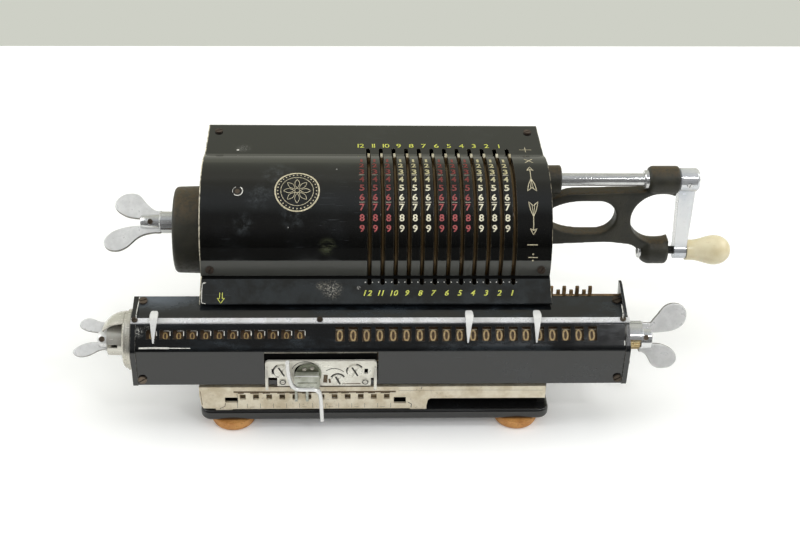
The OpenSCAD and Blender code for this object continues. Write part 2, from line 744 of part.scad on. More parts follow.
// ---- Carriage ----
module carriage_body() {
    left = carriage_left + plate_thick;
    length = carriage_right - plate_thick - left;
    color("#0e0e10") difference() {
        along_x(left, length) difference() {
            polygon(rounded(carriage_section));
            polygon(inset(carriage_section, carriage_wall));
            // The rear is open where the drum drives the registers
            translate([rear_y - 3, carriage_bottom + 4]) square([8, rear_top_z - carriage_bottom - 10]);
        }
        for (i = [0:product_count - 1]) window(product_first_x + i * pitch, 4.6, 7.4);
        for (i = [0:lever_count - 1]) window(counter_first_x + i * pitch, 5.3, 4.6);
        // Opening behind the shift plate
        translate([shift_left - 0.8, -carriage_front - 2, shift_bottom + 2.8]) cube([shift_w + 1.6, 5, 18.5]);
    }
}

// Cuts a window in the sloping face
module window(x, w, h) {
    translate([x, rail_y, rail_z]) rotate([slope_angle, 0, 0])
        translate([-w / 2, -window_down - h / 2, -3]) cube([w, h, 6]);
}

module carriage_bearing() {
    color("#6d6a63") difference() {
        along_x(bearing_x - bearing_w / 2, bearing_w) polygon(inset(carriage_section, carriage_wall));
        rod(bearing_x - 4, bearing_x + 4, axis_y, axis_z, register_shaft_r + running_gap);
    }
}

// End plates follow the carriage's section with a margin in front
module end_plate_section() {
    polygon(rounded([[rear_y, carriage_bottom, 1], [rear_y, rear_top_z, 1.2], [rail_y, rail_z, 1.5],
        [-carriage_front - 0.8, slope_end_z, 5], [-carriage_front - 0.8, carriage_bottom, 1.5]]));
}

module end_plate_left() {
    color("#121214") difference() {
        along_x(carriage_left, plate_thick) end_plate_section();
        rod(carriage_left - 1, carriage_left + 5, axis_y, axis_z, register_shaft_r + running_gap);
    }
}

module end_plate_right() {
    color("#121214") difference() {
        along_x(carriage_right - plate_thick, plate_thick) {
            end_plate_section();
            polygon(rounded([[rear_y - 1, rail_z - 9, 0], [rear_y + 3.4, rail_z - 6, 2],
                [rear_y + 3.4, rail_z + 12, 1.6], [rear_y - 1, rail_z + 12, 2],
                [rail_y + 5, rail_z + 0.8, 4], [rail_y + 5, rail_z - 9, 0]]));
        }
        rod(carriage_right - 5, carriage_right + 1, axis_y, axis_z, register_shaft_r + running_gap);
    }
}

// Stands children on the top face of the carriage
module on_top(x, y) {
    translate([x, y, rail_z + (y - rail_y) * tan(top_slope)]) rotate([top_slope, 0, 0]) children();
}

module pointer_rail() {
    color("#cfcfca") on_top(0, pointer_rail_y) translate([carriage_left, -pointer_rail_w / 2, seat_gap])
        cube([carriage_right - carriage_left, pointer_rail_w, pointer_rail_t]);
}

module carriage_screws() {
    color("#4a443b") {
        for (x = [carriage_left + 2.1, bearing_x, carriage_right - 3.7]) on_top(x, pointer_rail_y)
            translate([0, 0, pointer_rail_t + seat_gap]) screw_head(1.6, 0.9, 50);
        for (x = [carriage_left + 5.1, carriage_right - 5.1]) {
            on_top(x, -49) screw_head(2.3, 1, 20);
            translate([x, -carriage_front, carriage_bottom + 4.5]) rotate([90, 0, 0]) screw_head(2.3, 1, 35);
        }
        turned(carriage_right, rail_y - 1, carriage_bottom + 9.5) screw_head(2.6, 1.2, 10);
    }
}

module bell_housing() {
    flange_t = 4.8;
    depth = carriage_left - bell_end;
    color("#bdb8ac") difference() {
        turned(carriage_left, axis_y, axis_z, -1) {
            rotate_extrude() difference() {
                polygon([[0, 0], [bell_r - 0.6, 0], [bell_r, 0.6], [bell_r, 2.4], [bell_r - 1, 2.6],
                    [bell_r - 1, flange_t - 0.8], [bell_r - 1.8, flange_t], [8.4, flange_t],
                    [8.4, depth], [0, depth]]);
                polygon([[0, -1], [7, -1], [7, depth - 2], [0, depth - 2]]);
            }
            // Half dome behind the cap
            rotate([0, 0, -19]) rotate_extrude(angle = 180) polygon(concat(
                [for (a = [0:10:60]) [(bell_r - 1) * cos(a), flange_t - 0.4 + 13.8 * sin(a)]],
                [for (a = [60:-10:0]) [(bell_r - 2.2) * cos(a), flange_t - 0.4 + 12.6 * sin(a)]]));
        }
        rod(bell_end - 1, carriage_left + 1, axis_y, axis_z, register_shaft_r + running_gap);
        // Slots in the end of the cap
        for (a = [-10:90:260]) translate([bell_end - 1, axis_y, axis_z]) rotate([a, 0, 0])
            translate([0, -1, 5.2]) cube([6.6, 2, 4.6]);
    }
}

// Half shell over the ratchet
module ratchet_guard() {
    color("#c9c9c4") along_x(carriage_right, 8.6) translate([axis_y, axis_z]) intersection() {
        difference() {
            circle(9.4);
            circle(8.2);
        }
        rotate(-30) translate([-20, 0]) square([40, 20]);
    }
}

// ---- Carriage shift ----
module shift_plate() {
    right = shift_left + shift_w;
    color("#c4beb0") difference() {
        union() {
            translate([shift_left, -shift_front, shift_bottom])
                cube([shift_w, shift_t, shift_top - shift_bottom]);
            // Ears bent forward
            for (x = [shift_left, right - shift_t]) translate([x, -shift_front - 3.6, carriage_bottom])
                cube([shift_t, 3.8, 14]);
        }
        for (x = [shift_left + 4.4, right - 6.6]) translate([x, -shift_front - 1, carriage_bottom + 9.5])
            cube([2.2, 4, 3]);
        translate([shift_left + shift_t, -shift_front - 1, shift_bottom - 1]) cube([5, 4, 6.5]);
        translate([shift_pivot_x, -shift_front - 1, shift_pivot_z]) rotate([-90, 0, 0])
            cylinder(h = 4, r = shift_boss_r + running_gap);
    }
}

// Stands children on the shift plate, z above the underside of the carriage
module on_shift_plate(x, z) { translate([x, -shift_front, carriage_bottom + z]) rotate([90, 0, 0]) children(); }

module shift_screws() {
    right = shift_left + shift_w;
    color("#a49d8f") {
        for (x = [shift_left + 10.5, right - 11.5]) on_shift_plate(x, 10.8) screw_head(3.9, 0.9, 62);
        for (x = [shift_left + 11, right - 6]) on_shift_plate(x, 3.5) screw_head(1.8, 0.5, 20);
        on_shift_plate(right - 20.45, 5) screw_head(3.4, 0.8, 65);
    }
}

// Bent strip that the finger pushes sideways, on a round pivot boss
module shift_lever() {
    strip = 2.6;
    front = shift_front + slide_gap;
    color("#cfcfca") {
        translate([shift_pivot_x, -front, shift_pivot_z]) rotate([90, 0, 0]) cylinder(h = 3.2, r = 5.4);
        translate([shift_pivot_x, -front - 1, shift_pivot_z]) rotate([-90, 0, 0])
            cylinder(h = 3, r = shift_boss_r);
        translate([shift_pivot_x, 0, shift_pivot_z]) along_y(-front - shift_lever_depth, 2.8) {
            polygon([[-10.1, 10], [-10.1 + strip, 10], [-6.9, -4.6], [-5.1, -6.6], [5.7, -7.6], [7.9, -9.6],
                [9.3, base_top - 1 - shift_pivot_z], [6.7, base_top - 1 - shift_pivot_z], [5.5, -11],
                [4.3, -10.1], [-6.9, -9], [-9.5, -5.6]]);
            polygon([[-7.3, -9], [5.7, -10], [4.5, 3], [-4.5, 3]]);
        }
    }
}

// Two prongs that fall into the rack, hanging on the plate's lower edge
module shift_pawl() {
    prong_w = 1.4;
    reach = rack_front + slide_gap + pawl_y;
    color("#8e8a7e") {
        rod(pawl_x - 6, pawl_x + 6, pawl_y, pawl_z, 0.9);
        for (side = [-1, 1]) translate([pawl_x + side * (pitch / 2 - 0.6) - prong_w / 2, pawl_y, pawl_z])
            along_x(0, prong_w) polygon([[-0.8, 0], [0.8, 0], [1, 2.2 - pawl_drop], [-reach, 1.4 - pawl_drop],
                [-reach - 0.3, -pawl_drop - 0.2], [0.2, 0.6 - pawl_drop]]);
    }
}

// Spring levers of the tens carry, standing behind the carriage
module tens_levers() {
    color("#86755a") {
        rod(bearing_x, carriage_right - plate_thick, rear_y + tens_bar_r, rear_top_z - 1.4, tens_bar_r);
        for (i = [0:product_count])
            translate([product_first_x + (i - 0.5) * pitch - tens_lever_t / 2, rear_y, rear_top_z])
                along_x(0, tens_lever_t) polygon([[0, -3], [1.9, -3], [3, 1.5 + (i % 2) * 2],
                    [2, 2.4 + (i % 2) * 2], [0.8, 1 + i % 2]]);
    }
}

// ---- Registers ----
module number_wheels(first, count) {
    difference() {
        union() {
            for (i = [0:count - 1]) rod(first + i * pitch - wheel_w / 2, first + i * pitch + wheel_w / 2,
                axis_y, axis_z, wheel_r);
            rod(first - pitch / 2, first + (count - 0.5) * pitch, axis_y, axis_z, 6);
        }
        rod(first - pitch, first + count * pitch, axis_y, axis_z, register_shaft_r + seat_gap);
    }
}

module product_wheels() { color("#3a2b20") number_wheels(product_first_x, product_count); }
module counter_wheels() { color("#3a2b20") number_wheels(counter_first_x, lever_count); }

// Tongue that straddles the rail and points at a decimal place
module pointer(x) {
    color("#d2d2cd") translate([x, rail_y, rail_z]) intersection() {
        along_x(-4, 8) polygon([[8.4, 2], [8.4, 3.5], [4.5, 4], [-1.2, 2.6], [-7.2, -4.9], [-6.8, -5.9],
            [-1.4, -0.5], [-0.3, 1.8], [4, 2.4], [4.4, 1.6]]);
        translate([0, 0, -10]) linear_extrude(20)
            polygon([[-2.2, 9], [2.2, 9], [2, 1], [0.4, -8], [-0.4, -8], [-2, 1]]);
    }
}

translate([-middle_x, -middle_y, 0]) {
    base_plate();
    foot(-foot_x, foot_front_y);  // foot_1
    foot(foot_x, foot_front_y);  // foot_2
    foot(-foot_x, foot_back_y);  // foot_3
    foot(foot_x, foot_back_y);  // foot_4
    side_frame_left();
    side_frame_right();
    cover();
    rear_cover();
    cover_screws();
    drum_end_housing();
    crank_bracket();
    shaft_collar();
    home_bush();
    shift_rack();
    rack_screws();
    carriage_rails();
    drum_shaft();
    pinwheels();
    drum_gear();
    for (i = [1:lever_count]) setting_lever(i);
    drum_wing_nut();
    crank_shaft();
    crank_gear();
    crank_arm();
    crank_screw();
    index_pin();
    knob();
    carriage_body();
    carriage_bearing();
    end_plate_left();
    end_plate_right();
    pointer_rail();
    carriage_screws();
    bell_housing();
    ratchet_guard();
    shift_plate();
    shift_screws();
    tens_levers();
    product_wheels();
    product_wing_nut();
    product_ratchet();
    counter_wheels();
    counter_wing_nut();
    pointer(pointer_xs[0]);  // pointer_1
    pointer(pointer_xs[1]);  // pointer_2
    pointer(pointer_xs[2]);  // pointer_3
    shift_lever();
    shift_pawl();
}
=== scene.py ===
import bpy
import bmesh
import math
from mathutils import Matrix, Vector
from mathutils.geometry import tessellate_polygon


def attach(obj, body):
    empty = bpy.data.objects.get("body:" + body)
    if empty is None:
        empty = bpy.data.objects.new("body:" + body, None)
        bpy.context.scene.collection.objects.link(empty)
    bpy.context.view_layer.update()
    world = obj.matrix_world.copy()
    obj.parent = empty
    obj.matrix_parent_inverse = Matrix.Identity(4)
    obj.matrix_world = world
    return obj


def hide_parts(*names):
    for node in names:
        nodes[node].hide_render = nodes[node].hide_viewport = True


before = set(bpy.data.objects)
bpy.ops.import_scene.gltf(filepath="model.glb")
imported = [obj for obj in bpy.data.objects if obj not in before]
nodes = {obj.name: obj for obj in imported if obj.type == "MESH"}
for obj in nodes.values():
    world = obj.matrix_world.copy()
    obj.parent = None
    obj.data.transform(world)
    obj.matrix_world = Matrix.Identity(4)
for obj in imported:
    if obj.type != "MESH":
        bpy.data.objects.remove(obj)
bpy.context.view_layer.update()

# ---------------- places
# Places are construction millimetres: X from the cover's centre, Y from the
# drum's axis, Z from the table. C turns them into the frame's metres.
X, Y, Z = range(3)
ORIGIN_X, ORIGIN_Y = 24.35, -12.467
RIGHT, BACK, UP = (1, 0, 0), (0, 1, 0), (0, 0, 1)

PITCH = 7  # from one digit place to the next
SLOT_X = [73.3 - PITCH * i for i in range(12)]  # setting slots, from the right
COUNTER_X = [-117.3 + PITCH * i for i in range(12)]
PRODUCT_X = [-19.4 + PITCH * i for i in range(20)]
NOTCH_X = [-71.2 + PITCH * i for i in range(12)]

COVER_R, COVER_HALF_W = 39.5, 93.25
DRUM_Z = 83.5
TOP_Z = 119.2  # flat top of the cover
FLAP_TOP = (0, -38.98, 77.1)
FLAP_UP = (0, 15.04, 8.11)
REGISTER_Y, REGISTER_Z, WHEEL_R = -57.0, 48.5, 13.9
WINDOW_ANGLE = 136.5  # where a wheel's figure is read
DIGIT_1_ANGLE, DIGIT_STEP = 96.2, 8.2  # the dial's digits, from 1 down
RIDGE = (0, -65, 64)  # top edge of the carriage's slope
SLOPE_UP = (0, math.cos(math.radians(48)), math.sin(math.radians(48)))
RACK_FACE_Y, SHIFT_FACE_Y = -72.0, -75.4


def C(x, y, z):
    return Vector(((x - ORIGIN_X) / 1000, (y - ORIGIN_Y) / 1000, z / 1000))


def on_drum(x0, angle, lift=0.06):
    """Millimetres right and up on the drum cover, from an X and an angle above the front."""
    def place(u, v):
        a = math.radians(angle) + v / COVER_R
        r = COVER_R + lift
        return C(x0 + u, -r * math.cos(a), DRUM_Z + r * math.sin(a))
    return place


def on_plane(origin, right, up, lift=0.06):
    """Millimetres right and up on a plane, lifted off it."""
    o, r, u = Vector(origin), Vector(right).normalized(), Vector(up).normalized()
    n = r.cross(u)
    return lambda a, b: C(*(o + a * r + b * u + lift * n))


def on_front(y, lift=0.06):
    """Construction X and Z on an upright plane at y."""
    return on_plane((0, y, 0), RIGHT, UP, lift)


def on_wheel(x0, angle, lift=0.03):
    """Round a number wheel; the angle is measured from +Y over the top."""
    def place(u, v):
        a = math.radians(angle) - v / WHEEL_R
        r = WHEEL_R + lift
        return C(x0 + u, REGISTER_Y + r * math.cos(a), REGISTER_Z + r * math.sin(a))
    return place


def arc(x, y, r, a0, a1, n):
    """n + 1 points round a centre, from angle a0 to angle a1 in degrees."""
    angles = [math.radians(a0 + (a1 - a0) * i / n) for i in range(n + 1)]
    return [(x + r * math.cos(a), y + r * math.sin(a)) for a in angles]


def circle(r, n, x=0.0, y=0.0):
    return arc(x, y, r, 0, 360, n)[:-1]


def rect(x0, z0, x1, z1):
    return [(x0, z0), (x1, z0), (x1, z1), (x0, z1)]


def smooth_path(pts, steps=5, closed=True):
    """Catmull-Rom curve through the points."""
    out, n = [], len(pts)
    for i in range(n if closed else n - 1):
        q = [pts[(i + j) % n] if closed else pts[min(max(i + j, 0), n - 1)] for j in (-1, 0, 1, 2)]
        for s in range(steps):
            t = s / steps
            out.append(tuple(0.5 * (2 * b + (c - a) * t + (2 * a - 5 * b + 4 * c - d) * t * t
                                    + (3 * b - a - 3 * c + d) * t ** 3) for a, b, c, d in zip(*q)))
    return out if closed else out + [tuple(pts[-1])]


def left_normals(path, closed=True):
    """The unit normal to the left of a path at each of its points."""
    n, out = len(path), []
    for i in range(n):
        a = path[i - 1] if i or closed else path[i]
        b = path[(i + 1) % n] if i < n - 1 or closed else path[i]
        dx, dy = b[0] - a[0], b[1] - a[1]
        m = math.hypot(dx, dy) or 1.0
        out.append((-dy / m, dx / m))
    return out


# ---------------- materials
def rgb(r, g, b):
    """A screen colour, 0 to 255, as linear light."""
    linear = [c / 12.92 if c <= 0.04045 else ((c + 0.055) / 1.055) ** 2.4 for c in (r / 255, g / 255, b / 255)]
    return (*linear, 1.0)


class Nodes:
    """A node tree, and short calls that add nodes to it."""

    def __init__(self, tree, coordinates):
        self.t = tree
        self.co = self.add("ShaderNodeTexCoord").outputs[coordinates]

    def add(self, kind, ins=None, **props):
        n = self.t.nodes.new(kind)
        for k, v in props.items():
            setattr(n, k, v)
        for k, v in (ins or {}).items():
            self.link(v, n.inputs[k])
        return n

    def link(self, v, socket):
        if isinstance(v, bpy.types.NodeSocket):
            self.t.links.new(v, socket)
        else:
            socket.default_value = v

    def axis(self, i):
        return self.add("ShaderNodeSeparateXYZ", {0: self.co}).outputs[i]

    def calc(self, op, a, b=0.0):
        return self.add("ShaderNodeMath", {0: a, 1: b}, operation=op).outputs[0]

    def times(self, *factors):
        """Masks that all hold, or a mask made weaker by a number."""
        out = factors[0]
        for f in factors[1:]:
            out = self.calc("MULTIPLY", out, f)
        return out

    def any(self, *masks):
        out = masks[0]
        for m in masks[1:]:
            out = self.calc("MAXIMUM", out, m)
        return out

    def mix(self, fac, a, b):
        """Colour a where fac is 0, colour b where it is 1."""
        return self.add("ShaderNodeMix", {0: fac, 6: a, 7: b}, data_type="RGBA").outputs[2]

    def blend(self, fac, a, b):
        """The same for numbers."""
        return self.add("ShaderNodeMix", {0: fac, 2: a, 3: b}, data_type="FLOAT").outputs[0]


MATERIALS = {}


class Mat(Nodes):
    """A Principled material, kept in MATERIALS under its name."""

    def __init__(self, name, **constants):
        self.m = bpy.data.materials.new(name)
        self.m.use_nodes = True
        self.p = self.m.node_tree.nodes["Principled BSDF"]
        super().__init__(self.m.node_tree, "Object")
        for k, v in constants.items():
            self.set(k, v)
        MATERIALS[name] = self.m

    def set(self, name, v):
        self.link(v, self.p.inputs[name.replace("_", " ")])

    def noise(self, scale, detail, rough, stretch=(1, 1, 1), turn=(0, 0, 0)):
        v = self.co
        if stretch != (1, 1, 1):
            v = self.add("ShaderNodeMapping", {"Vector": v, "Scale": stretch,
                                               "Rotation": [math.radians(a) for a in turn]}).outputs[0]
        return self.add("ShaderNodeTexNoise", {"Vector": v, "Scale": scale, "Detail": detail,
                                               "Roughness": rough}).outputs[0]

    def step(self, v, lo, hi, a=0.0, b=1.0):
        """a where v is at lo, b where it is at hi, smooth between."""
        return self.add("ShaderNodeMapRange", {"Value": v, "From Min": lo, "From Max": hi, "To Min": a, "To Max": b},
                        interpolation_type="SMOOTHSTEP").outputs[0]

    def along(self, axis, lo, hi, a=0.0, b=1.0):
        """A step between two coordinates in construction millimetres."""
        return self.step(self.axis(axis), C(lo, lo, lo)[axis], C(hi, hi, hi)[axis], a, b)

    def spot(self, place, r0, r1):
        """1 within r0 mm of a place, 0 beyond r1 mm."""
        d = self.add("ShaderNodeVectorMath", {0: self.co, 1: place}, operation="DISTANCE").outputs["Value"]
        return self.step(d, r0 / 1000, r1 / 1000, 1.0, 0.0)

    def edge(self, lo, hi):
        """1 on sharp edges, where a 0.3 mm rounding turns the normal."""
        b = self.add("ShaderNodeBevel", {"Radius": 0.0003}, samples=5).outputs[0]
        g = self.add("ShaderNodeNewGeometry").outputs["Normal"]
        d = self.add("ShaderNodeVectorMath", {0: b, 1: g}, operation="DOT_PRODUCT").outputs["Value"]
        return self.step(d, 1 - hi, 1 - lo, 1.0, 0.0)

    def relief(self, height, mm, strength, round_mm=0.0):
        """Bump, with edges that shade as if rounded."""
        ins = {"Height": height, "Distance": mm / 1000, "Strength": strength}
        if round_mm:
            ins["Normal"] = self.add("ShaderNodeBevel", {"Radius": round_mm / 1000}, samples=5).outputs[0]
        self.set("Normal", self.add("ShaderNodeBump", ins).outputs[0])

    def scratches(self, amount):
        """Fine hair marks in three directions."""
        hairs = []
        for turn, length, lo in (((0, 0, 24), 80, 0.70), ((12, 20, -38), 100, 0.70), ((30, -12, 71), 70, 0.71)):
            n = self.noise(18, 2, 0.5, (length * 0.05, length, length), turn)
            hairs.append(self.step(n, lo, lo + 0.04))
        return self.times(self.any(*hairs), amount)

    def worn_line(self, axis, centre, half, soft):
        """1 within half mm of a coordinate, ragged beyond."""
        d = self.calc("ABSOLUTE", self.calc("SUBTRACT", self.axis(axis), C(centre, centre, centre)[axis]))
        ragged = self.calc("SUBTRACT", self.noise(500, 4, 0.65), 0.5)
        d = self.calc("ADD", d, self.times(ragged, soft / 500))
        return self.step(d, half / 1000, (half + soft) / 1000, 1.0, 0.0)


def enamel(name, tone, chips=(), marks=None, edge_amount=0.75, edge_colour=(150, 138, 110), dull=0.0, haze=1.0):
    """Black stoved enamel: clean gloss, hazy handled patches, dust and worn edges.

    marks gives (mask, colour) pairs; chips are (place, radius, colour)."""
    k = Mat(name, IOR=1.65)
    broad, cloud = k.noise(16, 4, 0.55), k.noise(120, 5, 0.65)
    patch = k.times(k.step(broad, 0.5, 0.68), k.step(cloud, 0.3, 0.75))
    dust = k.times(k.step(k.noise(2300, 2, 0.5), 0.73, 0.79), k.step(cloud, 0.45, 0.62), 0.45)
    hair = k.times(k.scratches(0.4), k.step(broad, 0.44, 0.64, 0.1, 1.0))
    edge = k.times(k.edge(0.03, 0.25), k.step(k.noise(420, 4, 0.65), 0.42, 0.6, 0.12, edge_amount))
    base = k.mix(k.times(patch, 0.6 * haze), rgb(*tone), rgb(tone[0] + 16, tone[1] + 19, tone[2] + 22))
    base = k.mix(hair, base, rgb(70, 74, 78))
    base = k.mix(dust, base, rgb(150, 150, 145))
    base = k.mix(edge, base, rgb(*edge_colour))
    # The marks' colours, among them the cover's painted reflection, then the chips.
    worn = list(marks(k)) if marks else []
    for place, r, colour in chips:
        worn.append((k.times(k.spot(place, r * 0.2, r), k.step(k.noise(1300, 5, 0.75), 0.5, 0.6)), colour))
    for mask, colour in worn:
        base = k.mix(mask, base, rgb(*colour))
    k.set("Base_Color", base)
    rough = k.step(broad, 0.42, 0.7, 0.05 + dull, 0.05 + dull + 0.09 * haze)
    rough = k.blend(k.times(patch, haze), rough, 0.24 + dull)
    rough = k.blend(hair, rough, 0.4)
    k.set("Roughness", k.blend(k.any(edge, *[mask for mask, _ in worn]), rough, 0.4))
    k.relief(k.calc("SUBTRACT", k.times(broad, 4.0), k.times(hair, 0.2)), 0.04, 0.5, 0.24)


def carriage_marks(k):
    """Haze on the left of the carriage's top, and smears on its slope."""
    haze = k.times(k.along(X, -118, -78, 1.0, 0.0), k.along(Z, 65.5, 68.0),
                   k.step(k.noise(130, 5, 0.65), 0.3, 0.6, 0.35, 1.0))
    smear = k.times(k.step(k.noise(60, 6, 0.75, (0.35, 1, 1)), 0.5, 0.66), k.along(Z, 52, 54), 0.6)
    return (haze, (88, 96, 104)), (smear, (34, 42, 48))


def cover_marks(k):
    """Fog and a smear on the curve, the mottled flap, the worn side edges, and a grey band at the foot of the curve
    that is a painted reflection of the table.
    """
    fog = []
    for x, angle, r in ((-52, 76, 12), (-62, 56, 10), (-44, 40, 9), (-70, 34, 8)):
        fog.append(k.spot(on_drum(x, angle, 0)(0, 0), r * 0.3, r))
    fog = k.times(k.any(*fog), k.step(k.noise(230, 5, 0.7), 0.4, 0.7), 0.75)
    smear = k.times(k.spot(C(-26, -37.4, 94.5), 1.5, 6.0), k.step(k.noise(400, 5, 0.7, (0.4, 1, 1)), 0.4, 0.6), 0.6)
    mottle = k.times(k.along(Z, 76.9, 77.1, 1.0, 0.0), k.step(k.noise(70, 6, 0.75), 0.42, 0.62), 0.55)
    left = k.times(k.worn_line(X, -COVER_HALF_W, 0.3, 0.35), k.step(k.noise(240, 4, 0.6), 0.38, 0.55, 0.3, 0.95))
    right = k.times(k.worn_line(X, COVER_HALF_W, 0.1, 0.25), k.step(k.noise(300, 4, 0.6), 0.45, 0.6, 0.0, 0.7))
    # Painted reflection: the foot of the curve is greyer where the enamel would show the table.
    foot_reflection = k.times(k.along(Z, 86.6, 86.9, 0.8, 0.0), k.along(Z, 76.9, 77.1), k.along(Y, -38.367, -38.667))
    return ((fog, (54, 58, 60)), (smear, (74, 78, 56)), (mottle, (36, 42, 46)), (left, (222, 214, 190)),
            (right, (200, 190, 165)), (foot_reflection, (80, 81, 76)))


def metal(name, light, dark, rough=(0.12, 0.35), spots=0.5, spot_colour=(90, 70, 45), scale=90, relief=0.02, shine=1.0,
          edge=0.0, disc=None):
    """Plated or bare metal: cloudy tarnish, specks, fine scratches; disc is a darker colour painted on a lever inside
    its slot, as painted shade.
    """
    k = Mat(name, Metallic=shine)
    cloud, fine = k.noise(scale, 5, 0.62), k.noise(1400, 3, 0.6)
    speck = k.times(k.step(k.noise(700, 4, 0.7), 0.6, 0.7), k.step(k.noise(60, 3, 0.6), 0.42, 0.62, 0.15, spots))
    colour = k.mix(k.step(cloud, 0.34, 0.68), rgb(*light), rgb(*dark))
    colour = k.mix(speck, colour, rgb(*spot_colour))
    if edge:
        edge = k.times(k.edge(0.02, 0.2), k.step(cloud, 0.3, 0.6, edge, edge * 0.4))
        colour = k.mix(edge, colour, rgb(*dark))
    # Painted shade: below the cover's surface a lever takes the darker disc colour.
    if disc:
        y = k.calc("SUBTRACT", k.axis(Y), C(0, 0, 0).y)
        z = k.calc("SUBTRACT", k.axis(Z), DRUM_Z / 1000)
        r = k.calc("SQRT", k.calc("ADD", k.times(y, y), k.times(z, z)))
        colour = k.mix(k.step(r, 0.0396, 0.0408), rgb(*disc), colour)
    k.set("Base_Color", colour)
    k.set("Roughness", k.blend(k.any(speck, k.scratches(0.35)), k.step(cloud, 0.3, 0.7, *rough), 0.5))
    k.relief(k.calc("ADD", k.times(fine, 0.3), k.times(cloud, 1.5)), relief, 0.5, 0.25)


def paint(name, colour, worn, amount=0.5, rough=0.45, colour_above=None, ior=1.5):
    """Paint filled by hand: uneven tone and rubbed-off places, and another colour above a height if one is given."""
    k = Mat(name, IOR=ior)
    tone, rub = k.noise(900, 4, 0.65), k.noise(2600, 3, 0.6)
    base = k.mix(k.step(tone, 0.35, 0.65), rgb(*colour), rgb(*[int(v * 0.8) for v in colour]))
    base = k.mix(k.times(k.step(rub, 0.5, 0.62), k.step(tone, 0.42, 0.6, 0.2, amount)), base, rgb(*worn))
    if colour_above:
        lo, hi, above = colour_above
        base = k.mix(k.along(Z, lo, hi), base, rgb(*above))
    k.set("Base_Color", base)
    k.set("Roughness", k.step(rub, 0.3, 0.7, rough - 0.1, rough + 0.15))
    k.relief(rub, 0.02, 0.5)


enamel("black_enamel_cover", (10, 10, 9), marks=cover_marks, chips=(
    (C(-75.4, 21.8, TOP_Z), 1.3, (225, 225, 220)), (C(-72.5, 23.8, TOP_Z), 5.5, (105, 105, 102)),
    (C(-23.5, -46.6, 73.0), 7.0, (150, 146, 135)), (C(-29, -45.0, 74.0), 4.0, (140, 135, 120)),
    (C(-9.5, -45.6, 73.6), 1.5, (210, 208, 200)), (C(-46.5, -33.8, 104.1), 0.7, (220, 220, 215)),
    (C(-21, -5, 122.7), 0.7, (220, 220, 215))))
enamel("black_enamel_carriage", (14, 15, 16), marks=carriage_marks, dull=0.05, haze=1.5, chips=(
    (C(-124, -66.5, 60), 4.0, (190, 188, 180)), (C(-119, -63.5, 62), 4.0, (150, 148, 140)),
    (C(-112, -63, 66), 3.0, (120, 120, 116))))
enamel("frame_black", (26, 26, 26), dull=0.1, edge_colour=(120, 112, 95))
# The end plates' edges go near-white all along: partly worn metal, partly painted highlight.
enamel("black_enamel_ends", (20, 21, 22), dull=0.05, edge_amount=1.0, edge_colour=(200, 196, 186))

metal("chrome", (228, 229, 230), (205, 205, 206), (0.12, 0.24), 0.25, (150, 140, 125), 50, 0.008, 0.78)
metal("chrome_arm", (228, 229, 231), (198, 203, 212), (0.12, 0.22), 0.25, (150, 150, 150), 34, 0.01, 0.6)
metal("nickel", (232, 230, 220), (214, 210, 198), (0.24, 0.38), 0.3, shine=0.4)
metal("nickel_bell", (222, 220, 212), (196, 192, 180), (0.16, 0.28), 0.4, scale=60, relief=0.01, shine=0.62)
metal("nickel_satin", (234, 234, 233), (216, 216, 215), (0.26, 0.38), 0.25, scale=160, shine=0.28)
# A darker nickel for the wing nuts' rims: painted shade along their rounded edges.
metal("nickel_rim_shade", (160, 158, 152), (120, 116, 108), (0.2, 0.36), 0.5, shine=0.6)
metal("nickel_polished", (244, 244, 242), (228, 228, 226), (0.14, 0.26), 0.2, scale=60, shine=0.3)
metal("nickel_rail", (236, 237, 242), (212, 212, 212), (0.22, 0.36), 0.5, (120, 100, 70), 120, shine=0.35)
metal("nickel_rack", (232, 223, 202), (206, 192, 164), (0.32, 0.5), 0.7, scale=130, shine=0.25, edge=0.5)
metal("rack_back", (120, 104, 78), (72, 58, 40), (0.4, 0.6), 0.8, scale=200, shine=0.4)
metal("cam_grey", (190, 192, 182), (150, 152, 138), (0.25, 0.4), 0.6, scale=160, shine=0.5)
metal("cam_olive", (136, 140, 122), (92, 94, 78), (0.3, 0.45), 0.7, scale=160, shine=0.5)
metal("steel", (180, 176, 166), (124, 118, 106), (0.2, 0.42), 0.6, shine=0.8)
# The levers turn dark brown inside their slots: painted shade.
metal("lever_steel", (226, 220, 196), (176, 164, 132), (0.25, 0.4), 0.5, shine=0.5, disc=(96, 76, 46))
metal("bronze", (84, 66, 40), (48, 37, 24), (0.35, 0.55), 0.7, (34, 27, 18), shine=0.6)
metal("bronze_finger", (150, 122, 84), (92, 72, 48), (0.3, 0.5), 0.7, (50, 40, 28), shine=0.6)
metal("brass", (232, 214, 170), (186, 160, 112), (0.2, 0.4), 0.6, (110, 88, 56), shine=0.6)
metal("screw_brown", (104, 92, 80), (58, 50, 42), (0.3, 0.5), 0.7, (28, 24, 20), shine=0.7)
metal("screw_painted", (82, 68, 58), (50, 43, 38), (0.35, 0.55), 0.7, (28, 24, 20), shine=0.3)
metal("pin_black", (44, 44, 40), (24, 24, 22), (0.3, 0.5), 0.6, (14, 14, 12), shine=0.4)

paint("wheel_brown", (88, 64, 40), (50, 37, 24), rough=0.5)
paint("digit_brass", (226, 196, 140), (150, 118, 74), 0.45)
paint("digit_tan", (206, 172, 108), (110, 84, 50), 0.45)
paint("paint_red", (182, 88, 88), (90, 42, 44), 0.75, colour_above=(113, 121.5, (112, 44, 40)))
paint("paint_cream", (242, 236, 208), (160, 152, 126), colour_above=(117, 122.5, (176, 168, 128)))
paint("paint_yellow_green", (222, 226, 96), (130, 132, 60), 0.4)
